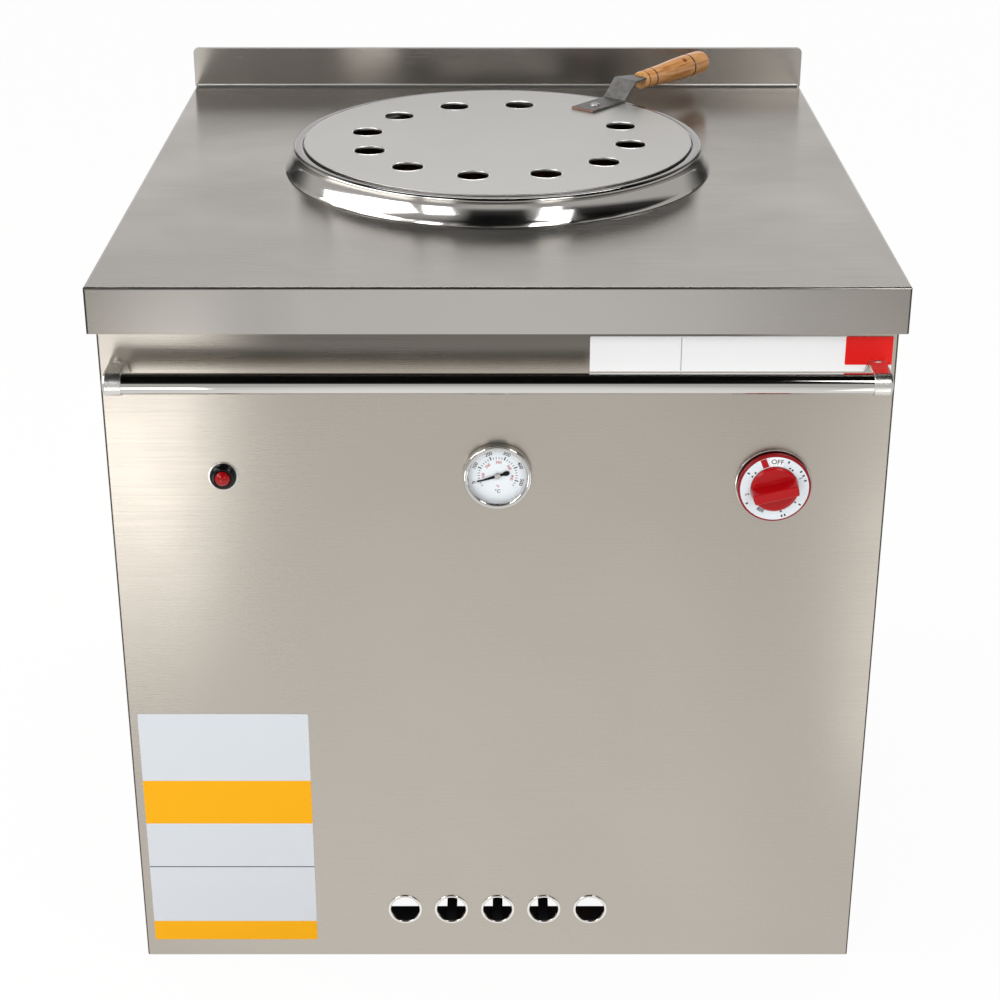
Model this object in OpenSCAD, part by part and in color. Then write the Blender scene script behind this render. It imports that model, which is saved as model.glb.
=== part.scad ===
// Clay tandoor oven in a stainless steel cabinet, gas fired.
// Origin: centre of the cabinet's footprint, on the floor. +Z is up and the front faces -Y.

/* [Cabinet] */
// Width of the cabinet over its side panels
body_w = 850; // [780:1:858]
// Depth of the cabinet over its front and rear panels
body_d = 840; // [790:1:848]
// Thickness of the stainless sheet
sheet = 1.5; // [1:0.1:2]
// Depth of the folded returns at the front panel's edges
panel_return = 20; // [12:1:28]
// Gap left where two pieces seat on each other
seat_gap = 0.2; // [0.1:0.05:0.3]
// Side of the base frame's steel channel
frame_rail = 40; // [30:1:45]
// Wall of the base frame's channel
frame_wall = 4; // [3:0.5:5]
// Distance of the frame's two cross members from the middle
cross_x = 210; // [200:1:230]
// Leg length of the corner post angles
post_leg = 30; // [24:1:34]
// Thickness of the corner post angles
post_wall = 3; // [2:0.5:4]

/* [Caster plates] */
// Hole spacing across the cabinet
caster_hole_x = 80; // [60:1:84]
// Hole spacing front to back
caster_hole_y = 60; // [50:1:64]
// Diameter of the caster bolt holes
caster_hole_d = 9; // [7:0.5:11]
// Width of a caster plate
caster_pad_w = 105; // [100:1:120]
// Depth of a caster plate
caster_pad_d = 85; // [80:1:100]
// Thickness of a caster plate
caster_pad_t = 6; // [4:1:8]

/* [Counter] */
// How far the counter stands out past the cabinet's sides
counter_side = 7; // [5:1:15]
// How far the counter stands out behind the cabinet
counter_rear = 9; // [5:1:20]
// Height of the counter's top face above the floor
counter_h = 864; // [820:1:900]
// How far the counter stands out in front of the cabinet
counter_front = 15; // [10:1:25]
// Height of the counter's folded apron
apron_h = 52; // [40:1:60]
// Outer radius of the counter's bends
bend_r = 3; // [2.5:0.5:5]
// Height of the splash upstand at the back
splash_h = 55; // [40:1:80]
// Thickness of the folded splash upstand
splash_t = 8; // [6:1:12]
// Corner radius of the splash and apron ends
sheet_corner_r = 6; // [3:1:12]

/* [Mouth and lid] */
// Distance of the pot's centre behind the middle of the cabinet
pot_y = 28; // [10:1:40]
// Radius of the mouth ring where it meets the counter
ring_base_r = 264; // [258:1:280]
// How far the ring's skirt spreads from its shoulder to the counter
ring_spread = 11; // [8:1:13]
// Distance of the lid's edge inside the ring's shoulder
lid_margin = 13; // [12:0.5:20]
// Thickness of the lid disc
lid_t = 3; // [2:0.5:4]
// Height of the lid's top face above the counter
lid_rise = 32.4; // [28:0.1:38]
// Radius of the opening inside the mouth ring
mouth_r = 205; // [190:1:208]
// Depth that the mouth ring's neck reaches below the counter
neck_drop = 32; // [20:1:45]
// Distance of the circle of holes inside the lid's edge
lid_hole_inset = 74; // [65:1:90]
// Diameter of the holes in the lid
lid_hole_d = 37; // [25:1:40]
// Angle of the lid's handle, counter-clockwise from the right
handle_angle = 50; // [40:1:60]

/* [Lid handle] */
// Width of the steel strap
strap_w = 36; // [30:1:40]
// Thickness of the steel strap
strap_t = 3; // [2:0.5:4]
// Distance of the strap's foot end inside the lid's edge
strap_foot_inset = 68; // [62:1:80]
// Distance of the rivet inside the lid's edge
rivet_inset = 41; // [40:1:50]
// Distance of the strap's lower bend outside the lid's edge
strap_bend_out = 2; // [0:0.5:4]
// Radius of the strap's rivet head
rivet_head_r = 7; // [5:0.5:9]
// Height that the strap rises over the lid
strap_rise = 22; // [16:1:30]
// Length of the sloping part, seen from above
strap_slope = 24; // [16:1:26]
// Distance of the wooden handle's front end outside the lid's edge
grip_front_out = 57; // [48:1:64]
// Length of the wooden handle
grip_len = 153; // [135:1:175]
// Largest radius of the wooden handle
grip_r = 16; // [14:0.5:18]
// Depth that the strap's tang reaches into the wood
tang_len = 60; // [30:1:90]
// Width of the strap's tang
tang_w = 14; // [10:1:18]

/* [Clay pot] */
// Wall thickness of the clay
pot_wall = 38; // [25:1:45]
// Inner radius of the pot at its mouth
pot_mouth_r = 212; // [209:1:220]
// Inner radius of the pot at its widest
pot_belly_r = 300; // [285:1:310]
// Inner radius of the pot at its open bottom
pot_bottom_r = 240; // [230:1:255]
// Share of the pot's height at which it is widest
pot_belly_at = 0.42; // [0.35:0.01:0.5]
// Thickness of the fibre gasket between the clay and the counter
gasket_t = 4; // [3:0.5:8]
// Height of the platform's top face above the floor
platform_h = 176; // [165:1:200]
// Thickness of the platform plate
platform_t = 6; // [4:1:10]
// Radius of the flame opening in the platform
flame_hole_r = 200; // [170:1:205]
// Side of the square platform legs
leg_side = 30; // [25:1:36]
// Distance of the platform legs from the pot's centre line, both ways
leg_reach = 210; // [195:1:230]

/* [Towel rail] */
// Distance of the rail's axis below the counter's top face
rail_drop = 100; // [90:1:120]
// Distance of the rail's axis from the front panel
rail_out = 35; // [30:1:45]
// Radius of the rail
rail_r = 11.4; // [8:0.1:12]
// Radius of the end caps
rail_cap_r = 12.5; // [12.2:0.1:16]
// Distance of the caps' outer ends inside the cabinet's sides
rail_end_inset = 11; // [5:1:20]
// Length of an end cap along the rail
rail_cap_len = 20; // [18:1:30]
// Radius of the screws that hold the rail's brackets
rail_screw_r = 2.5; // [2:0.1:3]

/* [Front panel] */
// Number of vent holes
vent_count = 5; // [3:1:9]
// Distance between vent holes
vent_pitch = 55.5; // [46:0.5:60]
// Height of the vent holes above the floor
vent_z = 67; // [63:1:80]
// Diameter of a vent hole
vent_d = 34; // [25:1:38]
// Width of the rolled rim round a vent hole
vent_rim = 3.4; // [2:0.1:5]
// How far the rolled rim stands out of the panel
vent_rim_out = 1.6; // [1:0.1:2.5]

/* [Thermometer] */
// Distance of the thermometer below the counter's top face
thermo_drop = 221; // [190:1:260]
// Radius of the thermometer's case
thermo_case_r = 36.5; // [32:0.5:40]
// Thickness of the rim that closes the case
thermo_rim = 1.1; // [0.8:0.1:2]
// Depth of the case in front of the panel
thermo_depth = 8; // [8:0.5:14]
// Radius of the probe
probe_r = 4; // [3:0.5:5]
// How far the probe reaches into the pot
probe_in = 25; // [10:1:40]
// Length of the pointer from its pivot to its tip
pointer_len = 24; // [18:1:28]
// Angle of the pointer at rest, clockwise from the top
pointer_rest = -107.6; // [-134:0.1:0]
// Radius of the pointer's pivot
pivot_r = 1; // [0.8:0.1:1.5]
// Running clearance round the small pivots
pivot_gap = 0.05; // [0.02:0.01:0.1]

/* [Gas knob] */
// Distance of the knob from the middle
knob_x = 301; // [285:1:325]
// Distance of the knob below the counter's top face
knob_drop = 233; // [200:1:260]
// Radius of the fixed bezel plate
knob_bezel_r = 42; // [42:1:50]
// Thickness of the fixed bezel plate
knob_bezel_t = 1.5; // [1.5:0.5:4]
// Radius of the red skirt
skirt_r = 40; // [38:0.5:42]
// Thickness of the red skirt
skirt_t = 5.5; // [3:0.5:7]
// Outer radius of the white scale ring
scale_r = 37.4; // [33:0.2:38]
// Radius of the round foot of the grip
grip_foot_r = 26; // [22:0.5:28]
// Height of the grip's bar over its foot
grip_bar_h = 16; // [10:1:22]
// Width of the grip's bar at its foot
grip_bar_w = 17; // [12:1:20]
// Tilt of the grip's bar at rest
grip_tilt = 14; // [0:1:45]
// Travel of the knob when it is pushed in
knob_push = 3; // [2:0.5:4]
// Radius of the valve spindle
spindle_r = 4; // [3:0.5:5]

/* [Igniter] */
// Distance of the igniter from the middle
igniter_x = -299; // [-320:1:-285]
// Distance of the igniter below the counter's top face
igniter_drop = 223; // [190:1:260]
// Radius of the bright washer
igniter_washer_r = 16.3; // [15.5:0.1:19]
// Radius of the black bezel
igniter_bezel_r = 14.75; // [13:0.1:15.2]
// Radius of the red button
igniter_button_r = 8.5; // [7:0.1:9]
// Radius of the igniter's threaded barrel
igniter_barrel_r = 10.9; // [10.5:0.1:12]
// Travel of the igniter button
igniter_push = 8; // [4:0.5:10]

/* [Labels] */
// Thickness of the plates and labels
label_t = 0.5; // [0.3:0.1:1]
// Gap between the counter's apron and the name plate
name_gap = 8; // [4:1:12]
// Width of the large label
rating_w = 196; // [150:1:220]
// Height of the large label
rating_h = 317; // [250:1:340]
// Width of the name plate
name_w = 321; // [260:1:321]
// Height of the name plate
name_h = 40; // [25:1:45]
// Width of the red badge
badge_w = 50; // [30:1:52]
// Height of the red badge
badge_h = 32; // [20:1:40]

/* [Gas train] */
// Outer radius of the supply pipe
supply_r = 10.65; // [9:0.05:12]
// Height of the supply pipe above the floor
supply_z = 110; // [100:1:125]
// Distance of the supply pipe from the middle
supply_x = 325; // [318:1:335]
// Outer radius of the inlet nipple's thread
inlet_r = 13.35; // [12:0.05:14]
// Length of the inlet nipple behind the rear panel
inlet_len = 30; // [20:1:45]
// Outer radius of the burner's feed tube
feed_r = 6.85; // [5:0.05:7]
// Distance of the feed tube from the middle
feed_x = 287; // [280:1:290]
// Height of the burner's mixing tube above the floor
burner_z = 96; // [90:1:110]
// Middle radius of the burner's ring
burner_ring_r = 90; // [80:1:100]
// Outer radius of the pilot tube
pilot_tube_r = 3; // [2.5:0.1:3.2]
// Radius of the thermocouple's lead
couple_lead_r = 1.5; // [1:0.1:2]
// Radius of the ignition lead
spark_lead_r = 2; // [1.5:0.1:2.5]
// Radius of the flame deflector
deflector_r = 150; // [110:1:170]
// Height of the flame deflector over the platform
deflector_rise = 60; // [40:1:80]

/* [Hidden] */
$fn = 96;
eps = 0.01;

// Faces of the cabinet and the counter
front_y = -body_d / 2;
rear_y = body_d / 2;
side_x = body_w / 2;
inner_front = front_y + sheet;
inner_rear = rear_y - sheet;
inner_side = side_x - sheet;
under_counter = counter_h - sheet;
panel_top = under_counter - seat_gap;
counter_w = body_w + 2 * counter_side;
counter_d = body_d + counter_front + counter_rear;
counter_front_y = front_y - counter_front;
counter_rear_y = rear_y + counter_rear;

// Heights of what is fixed to the front panel
rail_z = counter_h - rail_drop;
thermo_z = counter_h - thermo_drop;
knob_z = counter_h - knob_drop;
igniter_z = counter_h - igniter_drop;

// The base frame and what stands on it
frame_x = inner_side - seat_gap;
frame_front = inner_front + seat_gap;
frame_rear = inner_rear - seat_gap;
post_foot = frame_rail + seat_gap;
leg_top = platform_h - platform_t - seat_gap;

// Centre of the caster plate in the rear right corner
pad_x = frame_x - frame_rail - caster_pad_w / 2;
pad_y = frame_rear - frame_rail - caster_pad_d / 2;

// The rear panel's screws, through the middle of the posts' flanges
screw_r = 2.1;
screw_x = inner_side - post_leg / 2;
screw_rows = 5;
screw_margin = 60;
function screw_z(i) =
    frame_rail + screw_margin + i * (panel_top - frame_rail - 2 * screw_margin) / (screw_rows - 1);

// Place of vent hole i along the front panel
function vent_x(i) = (i - (vent_count - 1) / 2) * vent_pitch;

// Lower left corners of the labels
rating_margin = 11;
rating_x = -side_x + rating_margin;
rating_z = 22.7;
name_margin = 6;
name_x = side_x - name_margin - name_w;
name_z = counter_h - apron_h - name_gap - name_h;
badge_x = name_x + name_w - badge_w;
badge_z = name_z + name_h - badge_h;

// The pot, from its open bottom to its rim
pot_foot = platform_h + seat_gap;
pot_top = under_counter - gasket_t - 2 * seat_gap;
pot_height = pot_top - pot_foot;
pot_steps = 24;

// The inner radius of the pot at a share s of its height
function pot_r(s) =
    s < pot_belly_at
    ? pot_bottom_r + (pot_belly_r - pot_bottom_r) * sin(90 * s / pot_belly_at)
    : pot_mouth_r
        + (pot_belly_r - pot_mouth_r) * (1 + cos(180 * (s - pot_belly_at) / (1 - pot_belly_at))) / 2;

// The pot's inner radius at height z
function pot_r_at(z) = pot_r((z - pot_foot) / pot_height);

// The wall line of the pot, moved out by e
function pot_line(e) = [
    for (i = [0:pot_steps])
        [pot_r(i / pot_steps) + e, pot_foot + pot_height * i / pot_steps]
];

// Lid and mouth ring heights
ring_shoulder_r = ring_base_r - ring_spread;
lid_r = ring_shoulder_r - lid_margin;
lid_hole_ring = lid_r - lid_hole_inset;
lid_top = counter_h + lid_rise;
lid_under = lid_top - lid_t;
lid_seat_gap = 0.3;
ring_seat = lid_under - lid_seat_gap;
ring_sheet = 1.5;
shoulder_r = 4;
skirt_foot = 0.8;
skirt_hollow = 1;
band_rise = 1.8;
shoulder_z = ring_seat - shoulder_r + band_rise;
lid_gap = 0.8;
hole_step = 30;
rivet_shank_r = 3;

// Strap and handle heights
strap_foot_r = lid_r - strap_foot_inset;
rivet_r = lid_r - rivet_inset;
grip_front_r = lid_r + grip_front_out;
strap_foot_z = lid_top + seat_gap;
strap_bend_r = lid_r + strap_bend_out;
strap_top_z = strap_foot_z + strap_rise;
strap_fall = 4;
grip_axis_z = strap_top_z - strap_fall - strap_t / 2;
tang_end_r = grip_front_r + tang_len;
tang_gap = 0.15;

// Rail
rail_y = front_y - rail_out;
cap_bore_gap = 0.05;
bar_insert = 14;
bracket_foot_r = rail_cap_r + 0.5;
bracket_arm_w = rail_cap_len - 1;
bracket_arm_h = 2 * rail_cap_r - 0.4;
rail_end_x = side_x - rail_end_inset;
rail_post_x = rail_end_x - rail_cap_len / 2;
rail_screw_len = 16;
rail_screw_head = 5;
rail_screw_head_t = 2.5;

// Thermometer, from the panel forwards
case_floor = 2;
dial_t = 0.8;
glass_t = 1.5;
pointer_t = 0.6;
case_bore_r = thermo_case_r - 2.5;
thermo_front = front_y - thermo_depth;
dial_y = front_y - case_floor;
pointer_y = dial_y - dial_t - 1.2;
boss_r = 8;
boss_len = 20;
nut_t = 7;
pot_wall_y = pot_y - pot_r_at(thermo_z);
probe_tip_y = pot_wall_y + probe_in;
probe_tunnel = 2;

// Knob and valve, from the panel forwards and back
bezel_front = front_y - knob_bezel_t;
skirt_back = bezel_front - knob_push - 0.4;
skirt_front = skirt_back - skirt_t;
scale_in_r = grip_foot_r + 0.3;
grip_foot_t = 4;
grip_front = skirt_front - grip_foot_t - grip_bar_h;
spindle_front = skirt_front - 8;
collar_t = 2;
collar_r = spindle_r + 2.5;
collar_y = inner_front + 6;
washer_y = collar_y + collar_t;
washer_t = 1.5;
washer_r = spindle_r + 5;
spring_len = 12;
bonnet_y = washer_y + washer_t + spring_len;
bonnet_len = 4;
valve_front = bonnet_y + bonnet_len;
valve_w = 80;
valve_d = 50;
valve_h = 78;
valve_x = knob_x + 5;
valve_bottom = knob_z - valve_h / 2;
spindle_back = valve_front + 18;
bracket_t = 2;
bracket_reach = 30;
pipe_y = valve_front + 24;
tube_y = valve_front + 40;
chase_pad = 14;

// Igniter, from the panel forwards and back
washer_front = front_y - 1;
igniter_bezel_front = washer_front - 7;
dome_h = 7;
button_front = igniter_bezel_front - dome_h + 1;
button_back = front_y + 22;
barrel_len = 46;
barrel_back = front_y + barrel_len;
barrel_floor = 3;
button_gap = 0.08;
igniter_spring_r = igniter_button_r - 2;
lead_out = 22;
lead_y = barrel_back + lead_out;
lead_bend_r = 8;

// Gas inlet
nipple_in = 20;
inlet_collar_r = inlet_r + 2;
supply_bend_r = 30;
feed_bend_r = 22;

// Burner group
ring_half = 12;
burner_under = burner_z - ring_half;
bar_w = 12;
bar_t = 6;
bar_pitch = vent_pitch;
bar_top = post_foot + bar_t;
bar_seat = bar_top + seat_gap;
mixer_len = 88;
orifice_x = burner_ring_r + mixer_len;
orifice_len = 22;
pilot_y = -75;
pilot_block_z = 78;
pilot_block_h = 18;
spark_x = 64;
pilot_x = 78;
couple_x = 96;
pilot_run_z = 62;
couple_run_z = 54;
deflector_foot_r = (flame_hole_r + pot_bottom_r) / 2 - 2;
deflector_foot_w = 24;

// ---------- shared shapes ----------

// A box of width w, depth d and height h about the origin, its upright edges rounded to r
module round_box(w, d, h, r) {
    linear_extrude(h) {
        translate([-w / 2 + r, -d / 2]) square([w - 2 * r, d]);
        translate([-w / 2, -d / 2 + r]) square([w, d - 2 * r]);
        for (sx = [-1, 1], sy = [-1, 1])
            translate([sx * (w / 2 - r), sy * (d / 2 - r)]) circle(r, $fn = 32);
    }
}

// A flat rectangle on the XZ plane with rounded corners, thickness t towards +Y
module plate_xz(w, h, t, r) {
    rotate([90, 0, 0])
        translate([0, 0, -t])
            linear_extrude(t)
                union() {
                    translate([-w / 2 + r, 0]) square([w - 2 * r, h]);
                    translate([-w / 2, r]) square([w, h - 2 * r]);
                    for (sx = [-1, 1], z = [r, h - r])
                        translate([sx * (w / 2 - r), z]) circle(r, $fn = 32);
                }
}

// A round bar along Y from y0 to y1
module bar_y(r, y0, y1) {
    translate([0, y0, 0]) rotate([-90, 0, 0]) cylinder(r = r, h = y1 - y0);
}

// A ring along Y from y0 to y1
module ring_y(r_out, r_in, y0, y1) {
    difference() {
        bar_y(r_out, y0, y1);
        bar_y(r_in, y0 - 1, y1 + 1);
    }
}

// A hexagonal nut along Y with a round bore
module nut_y(across, r_in, y0, y1) {
    difference() {
        translate([0, y0, 0]) rotate([-90, 0, 0]) cylinder(r = across / sqrt(3), h = y1 - y0, $fn = 6);
        bar_y(r_in, y0 - 1, y1 + 1);
    }
}

// Unit vector from p to q
function dir(p, q) = (q - p) / norm(q - p);

// A pipe of radius r through right-angled corners, each bent at radius b
module pipe(pts, r, b) {
    n = len(pts);
    for (i = [0:n - 2]) {
        d = dir(pts[i], pts[i + 1]);
        from = pts[i] + (i == 0 ? 0 : b) * d;
        to = pts[i + 1] - (i == n - 2 ? 0 : b) * d;
        side = abs(d[2]) > 0.5 ? [1, 0, 0] : [0, 0, 1];
        up = cross(d, side);
        multmatrix([
            [side[0], up[0], d[0], from[0]],
            [side[1], up[1], d[1], from[1]],
            [side[2], up[2], d[2], from[2]]
        ])
            cylinder(r = r, h = norm(to - from), $fn = 32);
    }
    for (i = [1:n - 2]) {
        a = dir(pts[i - 1], pts[i]);
        c = dir(pts[i], pts[i + 1]);
        centre = pts[i] - b * a + b * c;
        axis = cross(-c, a);
        multmatrix([
            [-c[0], a[0], axis[0], centre[0]],
            [-c[1], a[1], axis[1], centre[1]],
            [-c[2], a[2], axis[2], centre[2]]
        ])
            rotate_extrude(angle = 90, $fn = 64) translate([b, 0]) circle(r, $fn = 32);
    }
}

// A coil spring along Y from y0 to y1
module spring_y(r, wire, turns, y0, y1) {
    sides = 6;
    steps = turns * 16;
    pitch = (y1 - y0 - 2 * wire) / steps;
    pts = [
        for (i = [0:steps], k = [0:sides - 1])
            let (a = i * 360 / 16, b = k * 360 / sides, q = r + wire * cos(b))
            [q * cos(a), y0 + wire + pitch * i + wire * sin(b), q * sin(a)]
    ];
    walls = [
        for (i = [0:steps - 1], k = [0:sides - 1])
            let (m = (k + 1) % sides)
            [i * sides + k, i * sides + m, (i + 1) * sides + m, (i + 1) * sides + k]
    ];
    first = [for (k = [sides - 1:-1:0]) k];
    last = [for (k = [0:sides - 1]) steps * sides + k];
    polyhedron(pts, concat([first], walls, [last]), convexity = 6);
}

// Copies its children at the four corners, mirrored to face inwards
module corners() {
    for (mx = [0, 1], my = [0, 1]) mirror([mx, 0, 0]) mirror([0, my, 0]) children();
}

// ---------- base and cabinet ----------

module base_frame() {
    frame_depth = frame_rear - frame_front;
    color("dimgray") union() {
        difference() {
            translate([0, (frame_front + frame_rear) / 2, 0])
                round_box(2 * frame_x, frame_depth, frame_rail, bend_r);
            translate([-frame_x + frame_rail, frame_front + frame_rail, -1])
                cube([2 * (frame_x - frame_rail), frame_depth - 2 * frame_rail, frame_rail + 2]);
            translate([-frame_x + frame_wall, frame_front + frame_wall, frame_wall])
                cube([2 * (frame_x - frame_wall), frame_depth - 2 * frame_wall, frame_rail - 2 * frame_wall]);
        }
        for (sx = [-1, 1])
            translate([sx * cross_x, (frame_front + frame_rear) / 2, 0])
                difference() {
                    translate([-frame_rail / 2, -frame_depth / 2 + frame_wall, 0])
                        cube([frame_rail, frame_depth - 2 * frame_wall, frame_rail]);
                    translate([-frame_rail / 2 + frame_wall, -frame_depth / 2, -1])
                        cube([frame_rail - 2 * frame_wall, frame_depth, frame_rail - frame_wall + 1]);
                }
    }
}

module caster_pads() {
    color("gray") corners()
        difference() {
            translate([pad_x - caster_pad_w / 2 + seat_gap, pad_y - caster_pad_d / 2 + seat_gap, seat_gap])
                cube([caster_pad_w - 2 * seat_gap, caster_pad_d - 2 * seat_gap, caster_pad_t]);
            for (sx = [-1, 1], sy = [-1, 1])
                translate([pad_x + sx * caster_hole_x / 2, pad_y + sy * caster_hole_y / 2, -1])
                    cylinder(d = caster_hole_d, h = caster_pad_t + 3, $fn = 32);
        }
}

module rear_screw_holes(y0, y1, r) {
    for (sx = [-1, 1], i = [0:screw_rows - 1])
        translate([sx * screw_x, 0, screw_z(i)]) bar_y(r, y0, y1);
}

// Plan of a corner post, an angle with its outer bend rounded like the panels'
module post_plan() {
    difference() {
        union() {
            square([post_leg, post_leg - bend_r]);
            square([post_leg - bend_r, post_leg]);
            translate([post_leg - bend_r, post_leg - bend_r]) circle(bend_r, $fn = 32);
        }
        translate([-1, -1]) square(post_leg + 1 - post_wall);
    }
}

module corner_posts() {
    x1 = inner_side - seat_gap;
    y1 = inner_rear - seat_gap;
    color("darkgray") difference() {
        corners()
            translate([x1 - post_leg, y1 - post_leg, post_foot])
                linear_extrude(panel_top - post_foot) post_plan();
        rear_screw_holes(y1 - post_wall - 1, y1 + 1, screw_r);
        for (sx = [-1, 1])
            translate([sx * rail_post_x, 0, rail_z]) bar_y(rail_screw_r + 0.1, -y1 - 1, -y1 + post_wall + 1);
    }
}

module platform_legs() {
    color("darkgray")
        for (sx = [-1, 1], sy = [-1, 1])
            translate([sx * cross_x, pot_y + sy * leg_reach, post_foot])
                difference() {
                    translate([-leg_side / 2, -leg_side / 2, 0])
                        cube([leg_side, leg_side, leg_top - post_foot]);
                    translate([-leg_side / 2 + post_wall, -leg_side / 2 + post_wall, -1])
                        cube([leg_side - 2 * post_wall, leg_side - 2 * post_wall, platform_h]);
                }
}

// The room that pipes and leads run down, from x0 to x1 and back to y1
module chase(x0, x1, y1, z0, z1) {
    translate([x0, front_y - 1, z0]) cube([x1 - x0, y1 - front_y + 1, z1 - z0]);
}

module right_chase(z0, z1) {
    chase(feed_x - chase_pad, supply_x + supply_r + chase_pad, tube_y + chase_pad, z0, z1);
}

module left_chase(z0, z1) {
    chase(igniter_x - 2 * chase_pad, igniter_x + 2 * chase_pad, lead_y + chase_pad, z0, z1);
}

// The posts' room, taken out of what lies between them
module post_room(z0, z1) {
    corners()
        translate([inner_side - post_leg - 2 * seat_gap, inner_rear - post_leg - 2 * seat_gap, z0])
            cube([post_leg + 5, post_leg + 5, z1 - z0]);
}

module pot_platform() {
    half_x = inner_side - seat_gap;
    half_y = inner_rear - seat_gap;
    low = platform_h - platform_t;
    color("dimgray") difference() {
        translate([-half_x, -half_y, low]) cube([2 * half_x, 2 * half_y, platform_t]);
        translate([0, pot_y, low - 1]) cylinder(r = flame_hole_r, h = platform_t + 2);
        post_room(low - 1, platform_h + 1);
        right_chase(low - 1, platform_h + 1);
        left_chase(low - 1, platform_h + 1);
    }
}

// The front panel and its returns seen from above, moved inwards by e, back to the line at y
module panel_plan(e, y) {
    r = bend_r - e;
    x = side_x - e;
    translate([-x, front_y + bend_r]) square([2 * x, y - front_y - bend_r]);
    translate([-x + r, front_y + e]) square([2 * (x - r), bend_r]);
    for (sx = [-1, 1]) translate([sx * (x - r), front_y + bend_r]) circle(r, $fn = 32);
}

module front_panel() {
    color("silver") difference() {
        union() {
            difference() {
                linear_extrude(panel_top) panel_plan(0, front_y + panel_return);
                translate([0, 0, -1])
                    linear_extrude(panel_top + 2) panel_plan(sheet, front_y + panel_return + 1);
            }
            for (i = [0:vent_count - 1])
                translate([vent_x(i), 0, vent_z])
                    translate([0, front_y, 0])
                        rotate([90, 0, 0])
                            rotate_extrude()
                                polygon([
                                    [vent_d / 2, -sheet / 2],
                                    [vent_d / 2 + vent_rim, -sheet / 2],
                                    [vent_d / 2 + vent_rim, 0],
                                    for (a = [0:15:180])
                                        [vent_d / 2 + vent_rim / 2 * (1 + cos(a)), vent_rim_out * sin(a)]
                                ]);
        }
        for (i = [0:vent_count - 1])
            translate([vent_x(i), 0, vent_z]) bar_y(vent_d / 2, front_y - 5, inner_front + 1);
        translate([0, 0, thermo_z]) bar_y(boss_r + 0.2, front_y - 1, inner_front + 1);
        translate([knob_x, 0, knob_z]) bar_y(collar_r + 1, front_y - 1, inner_front + 1);
        translate([igniter_x, 0, igniter_z]) bar_y(igniter_barrel_r + 0.1, front_y - 1, inner_front + 1);
        for (sx = [-1, 1])
            translate([sx * rail_post_x, 0, rail_z]) bar_y(rail_screw_r + 0.1, front_y - 1, inner_front + 1);
    }
}

module side_panel() {
    y0 = front_y + panel_return + seat_gap;
    color("silver")
        translate([inner_side, y0, 0]) cube([sheet, inner_rear - seat_gap - y0, panel_top]);
}

module left_panel() {
    mirror([1, 0, 0]) side_panel();
}

module right_panel() {
    side_panel();
}

module rear_panel() {
    color("silver") difference() {
        translate([-side_x, inner_rear, 0]) cube([body_w, sheet, panel_top]);
        rear_screw_holes(inner_rear - 1, rear_y + 1, screw_r);
        translate([supply_x, 0, supply_z]) bar_y(inlet_collar_r + 0.2, inner_rear - 1, rear_y + 1);
    }
}

module rear_screws() {
    color("gainsboro") {
        rear_screw_holes(rear_y - 9, rear_y + 1, screw_r - 0.1);
        rear_screw_holes(rear_y + seat_gap / 2, rear_y + 2.5, 2 * screw_r + 0.8);
    }
}

// ---------- counter, mouth and pot ----------

// The counter's outer or inner box: e is how far it is moved inwards
module counter_box(e) {
    w = counter_w / 2 - e;
    y0 = counter_front_y + e;
    y1 = counter_rear_y - e;
    top = counter_h - e;
    low = counter_h - apron_h - 1;
    r = bend_r - e;
    intersection() {
        translate([0, y1 + 1, 0]) rotate([90, 0, 0])
            linear_extrude(y1 - y0 + 2) union() {
                translate([-w, low]) square([2 * w, top - r - low]);
                translate([-w + r, low]) square([2 * (w - r), top - low]);
                for (sx = [-1, 1]) translate([sx * (w - r), top - r]) circle(r, $fn = 32);
            }
        translate([-w - 1, 0, 0]) rotate([90, 0, 90])
            linear_extrude(2 * w + 2) union() {
                translate([y0, low]) square([y1 - y0, top - r - low]);
                translate([y0 + r, low]) square([y1 - y0 - 2 * r, top - low]);
                for (y = [y0 + r, y1 - r]) translate([y, top - r]) circle(r, $fn = 32);
            }
        translate([0, 0, low])
            linear_extrude(top - low) union() {
                translate([-w + r, y0]) square([2 * (w - r), y1 - y0]);
                translate([-w, y0 + r]) square([2 * w, y1 - y0 - 2 * r]);
                for (sx = [-1, 1], y = [y0 + r, y1 - r]) translate([sx * (w - r), y]) circle(r, $fn = 32);
            }
    }
}

module counter_top() {
    mid = (counter_front_y + counter_rear_y) / 2;
    color("silver") union() {
        difference() {
            counter_box(0);
            counter_box(sheet);
            translate([-counter_w, -counter_d, counter_h - apron_h - 5])
                cube([2 * counter_w, 2 * counter_d, 5]);
            translate([0, pot_y, counter_h - 10]) cylinder(r = mouth_r + ring_sheet + 4, h = 20);
        }
        intersection() {
            translate([-counter_w / 2, 0, 0]) rotate([90, 0, 90])
                linear_extrude(counter_w)
                    difference() {
                        translate([counter_rear_y - splash_t, counter_h - bend_r])
                            square([splash_t, splash_h + bend_r]);
                        translate([counter_rear_y - splash_t + sheet, counter_h - sheet - 1])
                            square([splash_t - 2 * sheet, splash_h + 1]);
                    }
            translate([0, mid, counter_h - bend_r])
                plate_xz(counter_w, splash_h + bend_r, counter_d, sheet_corner_r);
        }
    }
}

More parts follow.
